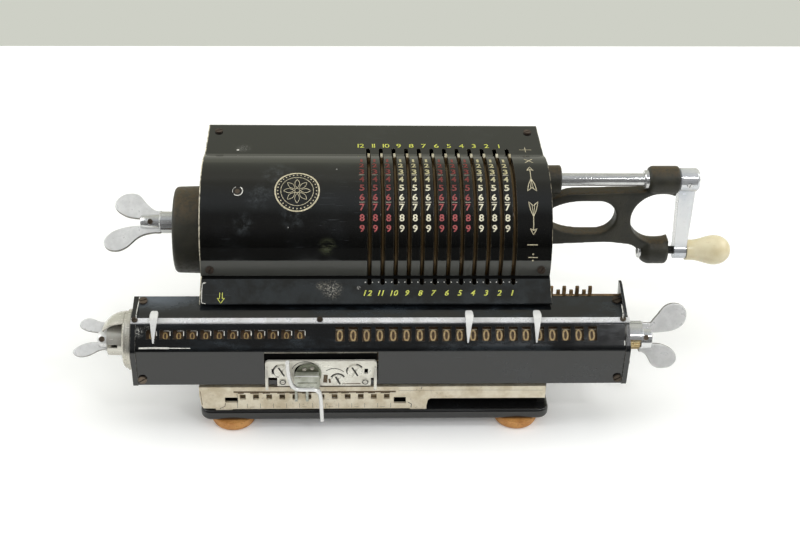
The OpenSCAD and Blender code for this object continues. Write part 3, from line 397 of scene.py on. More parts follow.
# Cream for the dial's bars, also used for painted highlights above the product windows.
paint("paint_bar_and_glint", (214, 208, 186), (110, 104, 90), 0.7)
paint("paint_gold", (214, 204, 172), (120, 108, 78))
# Near-white for worn enamel, also used for painted highlights.
paint("worn_edge_and_glint", (236, 234, 226), (150, 146, 136), 0.6, 0.35)
# Dark paint for printed lines, also used as painted shade in slots, recesses and the oil hole.
paint("dark_line_and_shade", (26, 24, 20), (60, 52, 40), 0.4)
paint("brown_stain", (92, 70, 42), (160, 144, 114), 0.7)
# Black with little gloss, used as painted shade in gaps and openings.
paint("shade_black", (9, 9, 9), (24, 24, 23), 0.4, 0.6, ior=1.12)

# Rough cast iron, browner where it faces up.
k = Mat("cast_black", IOR=1.45)
n1, n2, n3 = k.noise(60, 5, 0.6), k.noise(480, 5, 0.68), k.noise(1500, 3, 0.6)
up = k.add("ShaderNodeSeparateXYZ", {0: k.add("ShaderNodeNewGeometry").outputs["Normal"]}).outputs[Z]
base = k.mix(k.step(n1, 0.35, 0.65), rgb(42, 42, 36), rgb(56, 54, 44))
base = k.mix(k.times(k.step(up, 0.55, 0.99), k.step(n2, 0.36, 0.62, 0.2, 0.85)), base, rgb(84, 70, 48))
k.set("Base_Color", k.mix(k.step(n2, 0.62, 0.74), base, rgb(26, 26, 25)))
k.set("Roughness", k.step(n2, 0.3, 0.7, 0.34, 0.6))
k.relief(k.calc("ADD", n2, k.times(n3, 0.35)), 0.35, 0.7, 0.5)

k = Mat("gum_rubber", IOR=1.5)
n1, n2 = k.noise(140, 5, 0.6), k.noise(1100, 4, 0.65)
base = k.mix(k.step(n1, 0.35, 0.68), rgb(216, 158, 92), rgb(188, 124, 62))
k.set("Base_Color", k.mix(k.times(k.step(n2, 0.55, 0.7), 0.6), base, rgb(120, 78, 40)))
k.set("Roughness", k.step(n2, 0.3, 0.7, 0.45, 0.7))
k.relief(n2, 0.12, 0.6, 0.6)

k = Mat("ivory", IOR=1.5, Subsurface_Weight=0.12, Subsurface_Radius=(0.004, 0.003, 0.002))
n1, n2 = k.noise(90, 4, 0.5), k.noise(420, 5, 0.7, (0.35, 1, 1))
base = k.mix(k.step(n1, 0.3, 0.7), rgb(236, 226, 194), rgb(222, 208, 170))
k.set("Base_Color", k.mix(k.step(n2, 0.6, 0.78, 0.0, 0.4), base, rgb(176, 150, 104)))
k.set("Roughness", k.step(n1, 0.3, 0.7, 0.08, 0.16))
k.relief(n2, 0.03, 0.4)

for material, names in {
    "black_enamel_cover": ["cover", "rear_cover"],
    "black_enamel_carriage": ["carriage_body"],
    "black_enamel_ends": ["end_plate_left", "end_plate_right"],
    "frame_black": ["base_plate", "side_frame_left", "side_frame_right", "carriage_rails", "carriage_bearing"],
    "cast_black": ["crank_bracket", "drum_end_housing"],
    "chrome_arm": ["crank_arm"],
    "chrome": ["crank_shaft", "shaft_collar", "home_bush", "ratchet_guard", "drum_shaft", "crank_screw"],
    "nickel": ["shift_plate", "pointer_1", "pointer_2", "pointer_3", "shift_lever", "shift_screws"],
    "nickel_bell": ["bell_housing"],
    "nickel_rail": ["pointer_rail"],
    "nickel_satin": ["drum_wing_nut", "counter_wing_nut", "product_wing_nut"],
    "nickel_rack": ["shift_rack"],
    "lever_steel": [f"setting_lever_{i}" for i in range(1, 13)],
    "cam_grey": ["shift_pawl"],
    "bronze_finger": ["tens_levers"],
    "bronze": ["pinwheels", "drum_gear", "crank_gear"],
    "brass": ["product_ratchet"],
    "pin_black": ["index_pin"],
    "screw_brown": ["carriage_screws", "rack_screws"],
    "screw_painted": ["cover_screws"],
    "wheel_brown": ["counter_wheels", "product_wheels"],
    "gum_rubber": ["foot_1", "foot_2", "foot_3", "foot_4"],
    "ivory": ["knob"],
}.items():
    for name in names:
        slots = nodes[name].data.materials
        if not slots:
            slots.append(None)
        for i in range(len(slots)):
            slots[i] = MATERIALS[material]


# ---------------- pieces
def new_object(name, data):
    o = bpy.data.objects.new(name, data)
    bpy.context.scene.collection.objects.link(o)
    return o


def add_piece(name, mesh, body, node=None):
    """Puts a mesh in the scene; it rides on a body and may replace a node."""
    o = new_object(name, mesh)
    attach(o, body)
    if node:
        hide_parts(node)


def evaluated_mesh(o):
    return bpy.data.meshes.new_from_object(o.evaluated_get(bpy.context.evaluated_depsgraph_get()))


glyphs = {}


def glyph(ch, bold, shear):
    """Outline of one character from the built-in font: (points, faces, width), one unit tall."""
    key = (ch, bold, shear)
    if key not in glyphs:
        curve = bpy.data.curves.new("glyph", "FONT")
        curve.body, curve.offset, curve.shear, curve.resolution_u = ch, bold, shear, 4
        o = new_object("glyph", curve)
        me = evaluated_mesh(o)
        pts = [(v.co.x, v.co.y) for v in me.vertices]
        faces = [tuple(p.vertices) for p in me.polygons]
        bpy.data.objects.remove(o)
        bpy.data.curves.remove(curve)
        bpy.data.meshes.remove(me)
        x0, x1 = min(x for x, _ in pts), max(x for x, _ in pts)
        y0, y1 = min(y for _, y in pts), max(y for _, y in pts)
        tall = y1 - y0
        pts = [((x - (x0 + x1) / 2) / tall, (y - (y0 + y1) / 2) / tall) for x, y in pts]
        glyphs[key] = (pts, faces, (x1 - x0) / tall)
    return glyphs[key]


class Marks:
    """Flat painted shapes gathered into one mesh; place turns millimetres into a point."""

    def __init__(self):
        self.v, self.f = [], []

    def shape(self, pts, faces, place):
        n = len(self.v)
        self.v += [place(x, y) for x, y in pts]
        self.f += [tuple(n + i for i in f) for f in faces]

    def text(self, word, tall, place, wide=None, bold=0.0, shear=0.0):
        """Characters side by side, centred; wide is one character's width."""
        gap = 0.1 * tall
        outlines = [glyph(c, bold, shear) for c in word]
        widths = [wide or w * tall for _, _, w in outlines]
        x = -(sum(widths) + gap * (len(widths) - 1)) / 2
        for (pts, faces, natural), w in zip(outlines, widths):
            self.shape([(px * w / natural + x + w / 2, py * tall) for px, py in pts], faces, place)
            x += w + gap

    def line(self, path, width, place, closed=False):
        """A painted line of even width, in short steps so that it follows a curved surface."""
        ends = list(path) + ([path[0]] if closed else [])
        path = []
        for (x0, y0), (x1, y1) in zip(ends, ends[1:]):
            n = max(1, math.ceil(math.hypot(x1 - x0, y1 - y0) / 1.2))
            path += [(x0 + (x1 - x0) * i / n, y0 + (y1 - y0) * i / n) for i in range(n)]
        if not closed:
            path.append(ends[-1])
        pts, n, half = [], len(path), width / 2
        for (x, y), (a, b) in zip(path, left_normals(path, closed)):
            pts += [(x + a * half, y + b * half), (x - a * half, y - b * half)]
        pairs = [(i, (i + 1) % n) for i in range(n if closed else n - 1)]
        self.shape(pts, [(2 * i, 2 * i + 1, 2 * j + 1, 2 * j) for i, j in pairs], place)

    def lines(self, place, *rows):
        """Lines given as (width, point, point, ...)."""
        for width, *path in rows:
            self.line(path, width, place)

    def disc(self, x, y, r, place, n=12):
        self.shape(circle(r, n, x, y), [tuple(range(n))], place)

    def make(self, name, material, body, slot):
        me = bpy.data.meshes.new(name)
        me.from_pydata(self.v, [], self.f)
        me.validate()
        me.materials.append(MATERIALS[material])
        add_piece(name, me, body)


# Digits 1 to 9 beside each slot, in threes of cream and red, with bars after 3
# and 6, the places' numbers above and below, and an arrow on the flap.
red, cream, green, bars = Marks(), Marks(), Marks(), Marks()
for i, x in enumerate(SLOT_X):
    digits, bar_w = (cream, 0.42) if i // 3 % 2 == 0 else (red, 0.2)
    for d in range(1, 10):
        width = 1.2 if d == 1 else 2.6
        digits.text(str(d), 3.8, on_drum(x - 4.0, DIGIT_1_ANGLE - DIGIT_STEP * (d - 1)), width, bold=0.022)
    for angle in (76.1, 51.0):
        bars.line([(-1.5, 0), (1.5, 0)], bar_w, on_drum(x - 4.0, angle))
    green.text(str(i + 1), 4.2, on_plane((x - 3.9, 27.1, TOP_Z), RIGHT, BACK))
    green.text(str(i + 1), 3.3, on_plane((x - 0.9, -48.25, 72.1), RIGHT, FLAP_UP), bold=0.02, shear=0.3)
green.line([(-0.7, 2.6), (-0.7, -0.9), (-1.9, -0.7), (0, -3.7), (1.9, -0.7), (0.7, -0.9), (0.7, 2.6)], 0.38,
           on_plane((-82.0, -50.2, 71.05), RIGHT, FLAP_UP))
red.make("dial_digits_red", "paint_red", "frame", "black_enamel")
cream.make("dial_digits_cream", "paint_cream", "frame", "black_enamel")
green.make("place_numerals", "paint_yellow_green", "frame", "black_enamel")
bars.make("dial_bars", "paint_bar_and_glint", "frame", "black_enamel")

# Signs and arrows at the right: plus and times, up, down, minus and divide.
gold = Marks()
gold.lines(on_plane((83.7, 23.0, TOP_Z), RIGHT, BACK), (0.4, (-3.4, 0), (3.4, 0)), (0.4, (0, -2.6), (0, 2.6)))
gold.lines(on_drum(83.2, 96.5), (0.5, (-2.2, -2.4), (2.2, 2.4)), (0.5, (-2.2, 2.4), (2.2, -2.4)))
for place, way in ((on_drum(82.8, 73.4), 1), (on_drum(83.0, 38.8), -1)):
    for width, closed, path in (
            (0.42, True, [(-2.5, -8.8), (-1.6, -4.4), (0, -0.6), (1.6, -4.4), (2.5, -8.8), (0, -6.6)]),
            (0.3, False, [(-0.7, -7.0), (0, -1.0), (0.7, -7.0)]),
            (0.42, False, [(0, -0.6), (0, 6.4)]),
            (0.42, True, [(-1.8, 5.6), (0, 8.9), (1.8, 5.6), (0, 6.6)])):
        gold.line([(x, way * y) for x, y in path], width, place, closed)
divide = on_drum(83.2, 7.6)
gold.lines(on_drum(82.6, 18.0), (0.55, (-2.8, 0), (2.8, 0)))
gold.lines(divide, (0.5, (-2.6, 0), (2.6, 0)))
gold.disc(0, 1.9, 0.5, divide)
gold.disc(0, -1.9, 0.5, divide)

# The plain ring at the left: beads between two lines, and eight petals.
ring = on_drum(-41.9, 60.6)
for r, n, width in ((11.6, 96, 0.8), (8.6, 80, 0.3), (1.3, 24, 0.28)):
    gold.line(circle(r, n), width, ring, True)
for x, y in circle(10.3, 32):
    gold.disc(x, y, 0.38, ring, 10)
petal = [(1.6 + 0.56 * j, 1.25 * math.sin(math.pi * j / 10)) for j in range(11)]
petal += [(x, -y) for x, y in reversed(petal[1:-1])]
for c, s in circle(1, 8):
    gold.line([(x * c - y * s, x * s + y * c) for x, y in petal], 0.28, ring, True)
gold.make("dial_signs", "paint_gold", "frame", "black_enamel")

# The flap's black line along its top, painted shade in the gap under the curve; painted highlights on the rounded edge
# at its left end and beside the slots' lower ends; enamel rubbed through round the oil hole, whose dark disc is
# painted shade.
worn, gap_shade, hole, plug = Marks(), Marks(), Marks(), Marks()
flap = on_plane(FLAP_TOP, RIGHT, FLAP_UP, 0.05)
# Painted highlight on the rounded edge at the flap's left end.
worn.lines(flap, (0.36, (-90.4, -4.3), (-91.5, -4.4), (-92.1, -5.2), (-92.2, -9.0), (-92.1, -15.4), (-91.6, -16.4),
                  (-89.8, -16.7)),
           (0.5, (-91.9, -5.0), (-91.0, -4.5), (-90.2, -4.3)))
# Painted shade: a black strip of little gloss in the gap between the curve and the flap.
gap_shade.line([(-92.6, -1.1), (92.6, -1.1)], 2.0, on_plane(FLAP_TOP, RIGHT, FLAP_UP, 0.04))
gap_shade.make("flap_gap_shade", "shade_black", "frame", "black_enamel")
# Painted highlights beside each slot's lower end.
for x in SLOT_X:
    worn.disc(x - 2.1, -4.1, 0.34, flap)
    worn.disc(x + 1.7, -4.1, 0.28, flap)
oil_hole = on_drum(-73.2, 60.2, 0.1)
# The oil hole's inside: a dark disc, painted shade, with its plug on top.
hole.disc(0, 0, 2.3, oil_hole, 28)
plug.disc(-0.1, -0.2, 1.35, on_drum(-73.2, 60.2, 0.14), 20)
worn.line(arc(0, 0, 2.65, -135, 60, 13), 0.5, oil_hole)
worn.line(arc(0, 0, 2.6, 110, 200, 6), 0.22, oil_hole)
worn.disc(-75.4, 21.8, 0.75, on_plane((0, 0, TOP_Z), RIGHT, BACK))
worn.make("worn_edges_and_highlights", "worn_edge_and_glint", "frame", "black_enamel")
hole.make("oil_hole", "dark_line_and_shade", "frame", "black_enamel")
plug.make("oil_hole_plug", "screw_brown", "frame", "dark_steel")

# Figures round every number wheel; 0 stands in the window at rest.
for name, places, tall, wide, wide_one, bold, material, body in (
        ("product_figures", PRODUCT_X, 6.2, 3.3, 1.4, 0.012, "digit_brass", "product_register"),
        ("counter_figures", COUNTER_X, 3.9, 2.6, 1.1, 0.008, "digit_tan", "counter_register")):
    figures = Marks()
    for x in places:
        for d in range(10):
            width = wide_one if d == 1 else wide
            figures.text(str(d), tall, on_wheel(x, WINDOW_ANGLE + 36 * d), width, bold=bold)
    figures.make(name, material, body, "wheel_brown")


def cast(node, name, voxel_mm, passes):
    """A copy of a CAD node with the soft edges of a casting."""
    tmp = new_object("tmp", nodes[node].data.copy())
    remesh = tmp.modifiers.new("remesh", "REMESH")
    remesh.mode, remesh.voxel_size, remesh.use_smooth_shade = "VOXEL", voxel_mm / 1000, True
    smooth = tmp.modifiers.new("smooth", "SMOOTH")
    smooth.factor, smooth.iterations = 0.5, passes
    me = evaluated_mesh(tmp)
    bpy.data.objects.remove(tmp)
    me.name = name
    me.materials.clear()
    me.materials.append(MATERIALS["cast_black"])
    me.polygons.foreach_set("use_smooth", [True] * len(me.polygons))
    add_piece(name, me, "frame", node)


cast("crank_bracket", "bracket_casting", 0.6, 10)
cast("drum_end_housing", "boss_casting", 0.7, 5)


class Solid:
    """Closed shapes gathered into one mesh; points are construction millimetres.

    slot_no picks a shape's material from the list that make gets."""

    def __init__(self):
        self.v, self.f, self.m = [], [], []

    def add(self, pts, faces, slot_no):
        n = len(self.v)
        self.v += [C(*p) for p in pts]
        self.f += [tuple(n + i for i in f) for f in faces]
        self.m += [slot_no] * len(faces)

    def loft(self, rings, slot_no=0):
        """Rings of points of equal count joined into a closed skin."""
        n, last = len(rings[0]), (len(rings) - 1) * len(rings[0])
        faces = []
        for i in range(0, last, n):
            faces += [(i + j, i + (j + 1) % n, i + n + (j + 1) % n, i + n + j) for j in range(n)]
        faces += [tuple(reversed(range(n))), tuple(last + j for j in range(n))]
        self.add([p for r in rings for p in r], faces, slot_no)

    def bar(self, x0, x1, section, slot_no=0):
        """A straight bar along X; its section is in (y, z)."""
        self.loft([[(x, y, z) for y, z in section] for x in (x0, x1)], slot_no)

    def turned(self, origin, axis, profile, n=48, slot_no=0):
        """A body turned about an axis, from (distance along, radius) pairs."""
        o, d = Vector(origin), Vector(axis).normalized()
        e = d.orthogonal().normalized()
        g = d.cross(e)
        self.loft([[tuple(o + d * x + (e * c + g * s) * max(r, 0.01)) for c, s in circle(1, n)] for x, r in profile],
                  slot_no)

    def slab(self, outline, place, thick, rim=0.5, slot_no=0, edge_no=None):
        """A flat plate with rounded rims, of edge_no's material if it is given.

        place turns (u, v, w) into a point."""
        n, h = len(outline), thick / 2
        area = sum(outline[i - 1][0] * outline[i][1] - outline[i][0] * outline[i - 1][1] for i in range(n))
        sign = 1 if area > 0 else -1
        inward = [(a * sign, b * sign) for a, b in left_normals(outline)]
        rings = []
        for inset, w in ((rim * 1.4, h), (rim, h), (rim * 0.3, h - rim * 0.3), (0, h - rim), (0, rim - h),
                         (rim * 0.3, rim * 0.3 - h), (rim, -h), (rim * 1.4, -h)):
            rings.append([place(u + a * inset, v + b * inset, w) for (u, v), (a, b) in zip(outline, inward)])
        start = len(self.m)
        self.loft(rings if sign < 0 else rings[::-1], slot_no)
        if edge_no is not None:
            self.m[start + 2 * n:start + 5 * n] = [edge_no] * (3 * n)

    def ribbon(self, path, widths, place, thick, crown=0.0):
        """A flat strip along a path of (u, v), as wide as widths say across w."""
        section = ((-1, 0), (-0.92, 0.3), (-0.6, 0.5), (0, 0.5), (0.6, 0.5), (0.92, 0.3), (1, 0), (0.92, -0.3),
                   (0.6, -0.5), (0, -0.5), (-0.6, -0.5), (-0.92, -0.3))
        rings = []
        for (u, v), (a, b), width in zip(path, left_normals(path, False), widths):
            ring = []
            for t, h in section:
                rise = h * thick + crown * (1 - t * t) * (1 if h > 0 else 0.6)
                ring.append(place(u + a * rise, v + b * rise, width * t))
            rings.append(ring)
        self.loft(rings)

    def plate(self, y, thick, outline, holes=(), slot_no=0):
        """An upright plate from (x, z) outlines, with holes; y is its front face."""
        loops = [outline, *holes]
        flat = [p for loop in loops for p in loop]
        n = len(flat)
        tris = tessellate_polygon([[Vector((x, z, 0)) for x, z in loop] for loop in loops])
        faces = [tuple(t) for t in tris] + [tuple(i + n for i in reversed(t)) for t in tris]
        start = 0
        for loop in loops:
            m = len(loop)
            for a, b in [(start + i, start + (i + 1) % m) for i in range(m)]:
                faces.append((a, b, b + n, a + n))
            start += m
        self.add([(x, y, z) for x, z in flat] + [(x, y + thick, z) for x, z in flat], faces, slot_no)

    def make(self, name, materials, body, slot, node=None):
        """Adds the piece, smooth but for edges of 35 degrees and more."""
        me = bpy.data.meshes.new(name)
        me.from_pydata(self.v, [], self.f)
        for m in materials:
            me.materials.append(MATERIALS[m])
        me.polygons.foreach_set("material_index", self.m)
        me.validate()
        bm = bmesh.new()
        bm.from_mesh(me)
        bmesh.ops.recalc_face_normals(bm, faces=bm.faces)
        for e in bm.edges:
            e.smooth = len(e.link_faces) == 2 and e.calc_face_angle() < math.radians(35)
        for f in bm.faces:
            f.smooth = True
        bm.to_mesh(me)
        bm.free()
        add_piece(name, me, body, node)


# Wing nuts: body, the hub's metal, origin on the axis, the wings' direction in
# YZ, thickness and outlines (along the axis, across it), the hub's profile, and
# the hub screw's distance along with the hub's radius there.
WING_NUTS = {
    "drum": ("drum_nut", "chrome", (-109.55, 0, 85.8), (0.829, 0.559), 2.4, (
        [(-7.6, 6.4), (-9.4, 6.6), (-11.7, 7.1), (-13.9, 8.7), (-16.2, 10.9), (-18.0, 13.3), (-19.8, 15.4),
         (-22.0, 16.8), (-25.3, 17.2), (-29.1, 16.3), (-31.9, 14.2), (-33.5, 11.6), (-33.4, 8.9), (-31.9, 6.5),
         (-29.6, 4.7), (-26.8, 3.2), (-23.4, 2.3), (-19.6, 1.9), (-14.0, 1.4), (-7.6, 1.4)],
        [(-7.6, -2.0), (-13.9, -2.2), (-17.7, -2.2), (-22.1, -2.4), (-26.4, -3.0), (-30.7, -4.3), (-34.4, -6.1),
         (-37.2, -8.8), (-38.4, -11.7), (-37.6, -14.7), (-35.4, -16.7), (-32.1, -17.4), (-28.9, -16.8),
         (-25.7, -15.0), (-23.2, -12.6), (-20.6, -10.0), (-17.4, -8.0), (-14.2, -7.0), (-11.0, -6.5), (-7.6, -6.2)]),
        [(2.0, 4.2), (-0.3, 4.2), (-0.35, 5.6), (-0.9, 6.0), (-7.9, 6.0), (-8.5, 5.5), (-8.6, 4.4), (-18.2, 4.2),
         (-18.9, 3.7), (-19.0, 2.6), (-18.2, 2.2), (-18.2, 0)], -13.4, 4.4),
    "counter": ("counter_register", "nickel_satin", (-141.6, REGISTER_Y, REGISTER_Z), (0.766, 0.643), 2.0, (
        [(-0.6, 8.6), (-3.6, 9.3), (-6.3, 10.0), (-8.9, 11.1), (-11.6, 11.3), (-14.2, 10.3), (-15.6, 8.4),
         (-15.1, 6.4), (-13.4, 5.2), (-11.2, 4.3), (-8.1, 3.7), (-5.4, 3.4), (-3.0, 3.2), (-0.6, 3.2)],
        [(-0.5, -1.6), (-2.0, -1.6), (-5.2, -1.5), (-8.3, -1.6), (-11.5, -2.1), (-14.5, -3.2), (-17.1, -4.7),
         (-18.6, -6.3), (-18.3, -7.7), (-16.9, -9.0), (-14.7, -9.6), (-12.1, -9.5), (-9.6, -8.7), (-7.0, -7.4),
         (-4.5, -6.2), (-2.4, -5.8), (-0.5, -5.7)]),
        [(1.6, 3.0), (-0.3, 3.0), (-0.35, 4.4), (-0.7, 4.8), (-3.6, 4.8), (-4.4, 4.4), (-5.4, 3.8), (-5.7, 2.0),
         (-5.7, 0)], -3.0, 4.8),
    "product": ("product_register", "chrome", (133.7, REGISTER_Y, REGISTER_Z), (0.407, 0.914), 2.4, (
        [(7.9, 8.6), (11.0, 8.5), (13.8, 8.6), (15.3, 10.4), (17.4, 12.9), (19.4, 15.6), (21.0, 17.4), (23.1, 18.6),
         (25.8, 19.2), (28.5, 18.9), (30.8, 17.8), (32.5, 15.8), (33.2, 13.6), (33.1, 10.9), (32.0, 8.1),
         (29.7, 5.9), (26.5, 4.3), (22.7, 3.5), (18.3, 3.1), (14.0, 2.9), (7.9, 2.7)],
        [(7.9, -2.9), (14.2, -2.9), (17.5, -2.9), (20.8, -3.5), (24.1, -4.9), (26.7, -6.8), (28.4, -9.6),
         (28.4, -12.4), (26.7, -14.9), (24.1, -16.3), (20.2, -16.7), (16.9, -16.0), (14.9, -14.3), (13.5, -11.8),
         (12.0, -9.5), (10.0, -7.9), (7.9, -7.2)]),
        [(-6.0, 3.0), (8.0, 3.0), (8.05, 5.6), (8.5, 6.0), (13.8, 6.0), (14.3, 5.6), (14.3, 2.6), (13.7, 2.2),
         (13.7, 0)], 10.6, 6.0),
}
HUB_SCREW_WAY = Vector((0, -0.79, 0.61)).normalized()
for key, (body, hub_metal, origin, wings_way, thick, wings, hub, screw_x, hub_r) in WING_NUTS.items():
    sol = Solid()
    o, across = Vector(origin), Vector((0, *wings_way)).normalized()
    through = Vector(RIGHT).cross(across)
    # The wings' rims take the darker nickel, painted shade along their edges.
    for wing in wings:
        sol.slab(smooth_path(wing), lambda u, v, w: o + Vector(RIGHT) * u + across * v + through * w, thick, 0.6,
                 edge_no=3)
    sol.turned(o, RIGHT, hub, slot_no=2)
    sol.turned(o + Vector((screw_x, 0, 0)) + HUB_SCREW_WAY * (hub_r - 0.6), HUB_SCREW_WAY,
               [(0, 1.5), (0.8, 1.5), (0.95, 1.2), (0.8, 1.0), (0.8, 0)], 20, 1)
    sol.make(f"{key}_nut_forging", ["nickel_satin", "screw_brown", hub_metal, "nickel_rim_shade"], body, "chrome",
             f"{key}_wing_nut")

# Pointers: a spoon bent over the rail, its narrow end lying down the slope.
# Each has its X and how far to the right its tip leans, from LEAN_FROM forward.
HALF_W, WIDEST_AT, LEAN_FROM = 2.25, 0.32, 2.0
spoon = smooth_path([(7.4, 3.2), (6.0, 3.9), (3.5, 3.9), (0.5, 3.3), (-1.6, 1.9), (-3.6, -0.2), (-5.4, -2.3),
                     (-7.0, -4.3), (-8.4, -6.1)], 4, False)
widths = []
for i in range(len(spoon)):
    t = i / (len(spoon) - 1)
    if t < WIDEST_AT:
        w = HALF_W * math.sqrt(1 - (1 - t / WIDEST_AT) ** 2)
    else:
        w = HALF_W - 1.9 * ((t - WIDEST_AT) / (1 - WIDEST_AT)) ** 0.95
    widths.append(max(w, 0.25))
lean_length = LEAN_FROM - spoon[-1][0]
for i, x, lean in ((1, -116.0, 0.0), (2, 48.5, -1.0), (3, 84.4, -0.8)):
    sol = Solid()
    sol.ribbon(spoon, widths, lambda u, v, w: (x + w + lean * max(0.0, LEAN_FROM - u) / lean_length,
                                               RIDGE[Y] + u, RIDGE[Z] + v), 0.9, 0.45)
    sol.make(f"pointer_spoon_{i}", ["nickel_polished"], f"pointer_{i}", "chrome", f"pointer_{i}")

# Rack: a cream nickel strip with its notches, a brown strip behind them, its
# top flange and two feet.
sol = Solid()
sol.plate(RACK_FACE_Y, 1.4,
          [(-94.2, 27.6), (-94.3, 22.0), (-93.4, 15.0), (-92.4, 13.2), (-84.6, 13.0), (-84.0, 12.6), (26.2, 12.6),
           (27.2, 13.6), (27.6, 16.0), (28.0, 18.4), (29.4, 19.5), (91.4, 19.5), (91.2, 27.6)],
          [rect(x - 1.5, 19.2, x + 1.5, 22.6) for x in NOTCH_X]
          + [rect(-80.8, 17.2, -73.9, 20.6), rect(9.6, 16.2, 16.1, 20.4)])
sol.bar(-94.1, 91.2, rect(-70.6, 26.4, -66.4, 27.6))
sol.plate(-70.5, 0.5, rect(-73.2, 17.0, 9.0, 24.6), slot_no=1)
for x in (-86.0, 18.4):
    sol.plate(-71.9, 5.4, rect(x, 12.0, x + 9, 13.4))
sol.make("rack_strip", ["nickel_rack", "rack_back"], "frame", "nickel", "shift_rack")
ticks, seam = Marks(), Marks()
rack_face = on_front(RACK_FACE_Y, 0.04)
for i, x in enumerate(NOTCH_X):
    ticks.line([(x + 2.2, 13.3), (x + 2.2, 16.4)], 0.16, rack_face)
    if i % 2:
        ticks.line([(x - 3.4, 14.0), (x - 1.0, 14.0)], 0.14, rack_face)
ticks.lines(rack_face, (0.2, (-74.2, 13.3), (-74.2, 23.6)), (0.4, (19.0, 13.2), (19.2, 15.6), (17.2, 17.0)),
            (0.3, (-83.8, 13.0), (-81.0, 14.6), (-80.6, 17.0)), (0.3, (24.0, 25.8), (24.6, 27.4)))
seam.line([(-76.0, 24.4), (-40, 24.1), (10.5, 24.3)], 1.1, rack_face)
for i, x in enumerate(NOTCH_X):
    seam.line([(x - 2.6 - i % 3 * 0.4, 23.5), (x + 0.6 + i % 2, 23.6)], 0.7, rack_face)
seam.lines(rack_face, (0.3, (-93.6, 24.9), (-93.0, 15.6)), (0.14, (12.0, 24.9), (40.0, 25.2), (90.0, 24.8)))
ticks.make("rack_ticks", "dark_line_and_shade", "frame", "nickel")
seam.make("rack_stains", "brown_stain", "frame", "nickel")


def reshape(node, name, shift):
    """A copy of a carriage node; shift gives each vertex's move along X, in metres."""
    me = nodes[node].data.copy()
    me.name = name
    for v in me.vertices:
        v.co.x += shift(v.co)
    add_piece(name, me, "carriage", node)


# Carriage casing: the opening's left wall stands at the shift plate's end.
opening_left = C(-61.35, 0, 0).x
reshape("carriage_body", "carriage_casing",
        lambda p: 0.00235 if abs(p.x - opening_left) < 5e-5 else 0.0)

# Shift plate with rounded shoulders, its ears bent forward.
sol = Solid()
sol.plate(SHIFT_FACE_Y, 1.4,
          arc(-2.1, 45.6, 2.1, 0, 90, 6) + arc(-56.4, 45.6, 2.1, 90, 180, 6)
          + [(-58.5, 36.8), (-52.4, 36.8), (-52.4, 31.2), (-3.0, 31.2), (-3.0, 36.4), (0.0, 36.4)],
          [rect(-55.2, 39.3, -53.6, 42.6), rect(-6.5, 39.3, -4.6, 42.5), arc(-37.5, 40.0, 5.9, 0, 340, 17)])
for x in (-58.5, -1.5):
    sol.bar(x, x + 1.5, [(-74.2, 44.2), (-76.4, 43.6), (-78.4, 41.0), (-78.8, 37.0), (-78.8, 31.2), (-78.2, 30.6),
                         (-76.0, 30.6), (-75.2, 31.6), (-74.6, 36.0)])
sol.make("shift_plate_bent", ["nickel"], "carriage", "nickel", "shift_plate")

# Painted shade: the screw slots, dark arcs in the recesses round the screws and the round opening, and two dark rings
# low on the plate. Then rust stains.
dark, rust = Marks(), Marks()
shift_face, screw_heads = on_front(SHIFT_FACE_Y, 0.05), on_front(-76.3)
for x, z, r, tilt, recesses in ((-50.05, 41.3, 3.9, 62, ((120, 250),)),
                                (-11.5, 41.3, 3.9, 62, ((30, 80), (150, 210))),
                                (-20.5, 35.5, 3.4, 65, ((25, 100), (100, 155)))):
    dark.line(arc(x, z, r * 0.82, 180 - tilt, -tilt, 1), 0.9, screw_heads)
    for a0, a1 in recesses:
        dark.line(arc(x, z, r + 0.4, a0, a1, 10), 0.7, shift_face)
dark.line(arc(-22.4, 36.2, 6.6, 40, 130, 14), 0.4, shift_face)
dark.line(arc(-37.5, 40.0, 7.4, 20, 160, 16), 0.35, shift_face)
for x in (-49.5, -6.0):
    dark.line(circle(1.4, 24, x, 34.0), 0.5, on_front(-75.9), True)
rust.lines(shift_face, (2.2, (-27.2, 33.4), (-26.8, 38.6)), (1.1, (-24.6, 33.2), (-25.0, 36.0)),
           (0.5, (-23.0, 32.4), (-8.5, 32.6)))
rust.make("shift_plate_stains", "brown_stain", "carriage", "nickel")
dark.make("shift_plate_shade", "dark_line_and_shade", "carriage", "nickel")

# Black strip behind the shift opening, painted shade for the dark inside, with the rack guide's light rim on top.
sol = Solid()
sol.plate(-73.2, 0.8, rect(-59.0, 46.6, 0.0, 52.2))
sol.slab(rect(-59.0, 51.7, 0.0, 52.3), lambda u, v, w: (u, -73.5 + w, v), 0.7, 0.15, 1)
sol.make("shift_opening_strip", ["shade_black", "steel"], "carriage", "black_enamel")

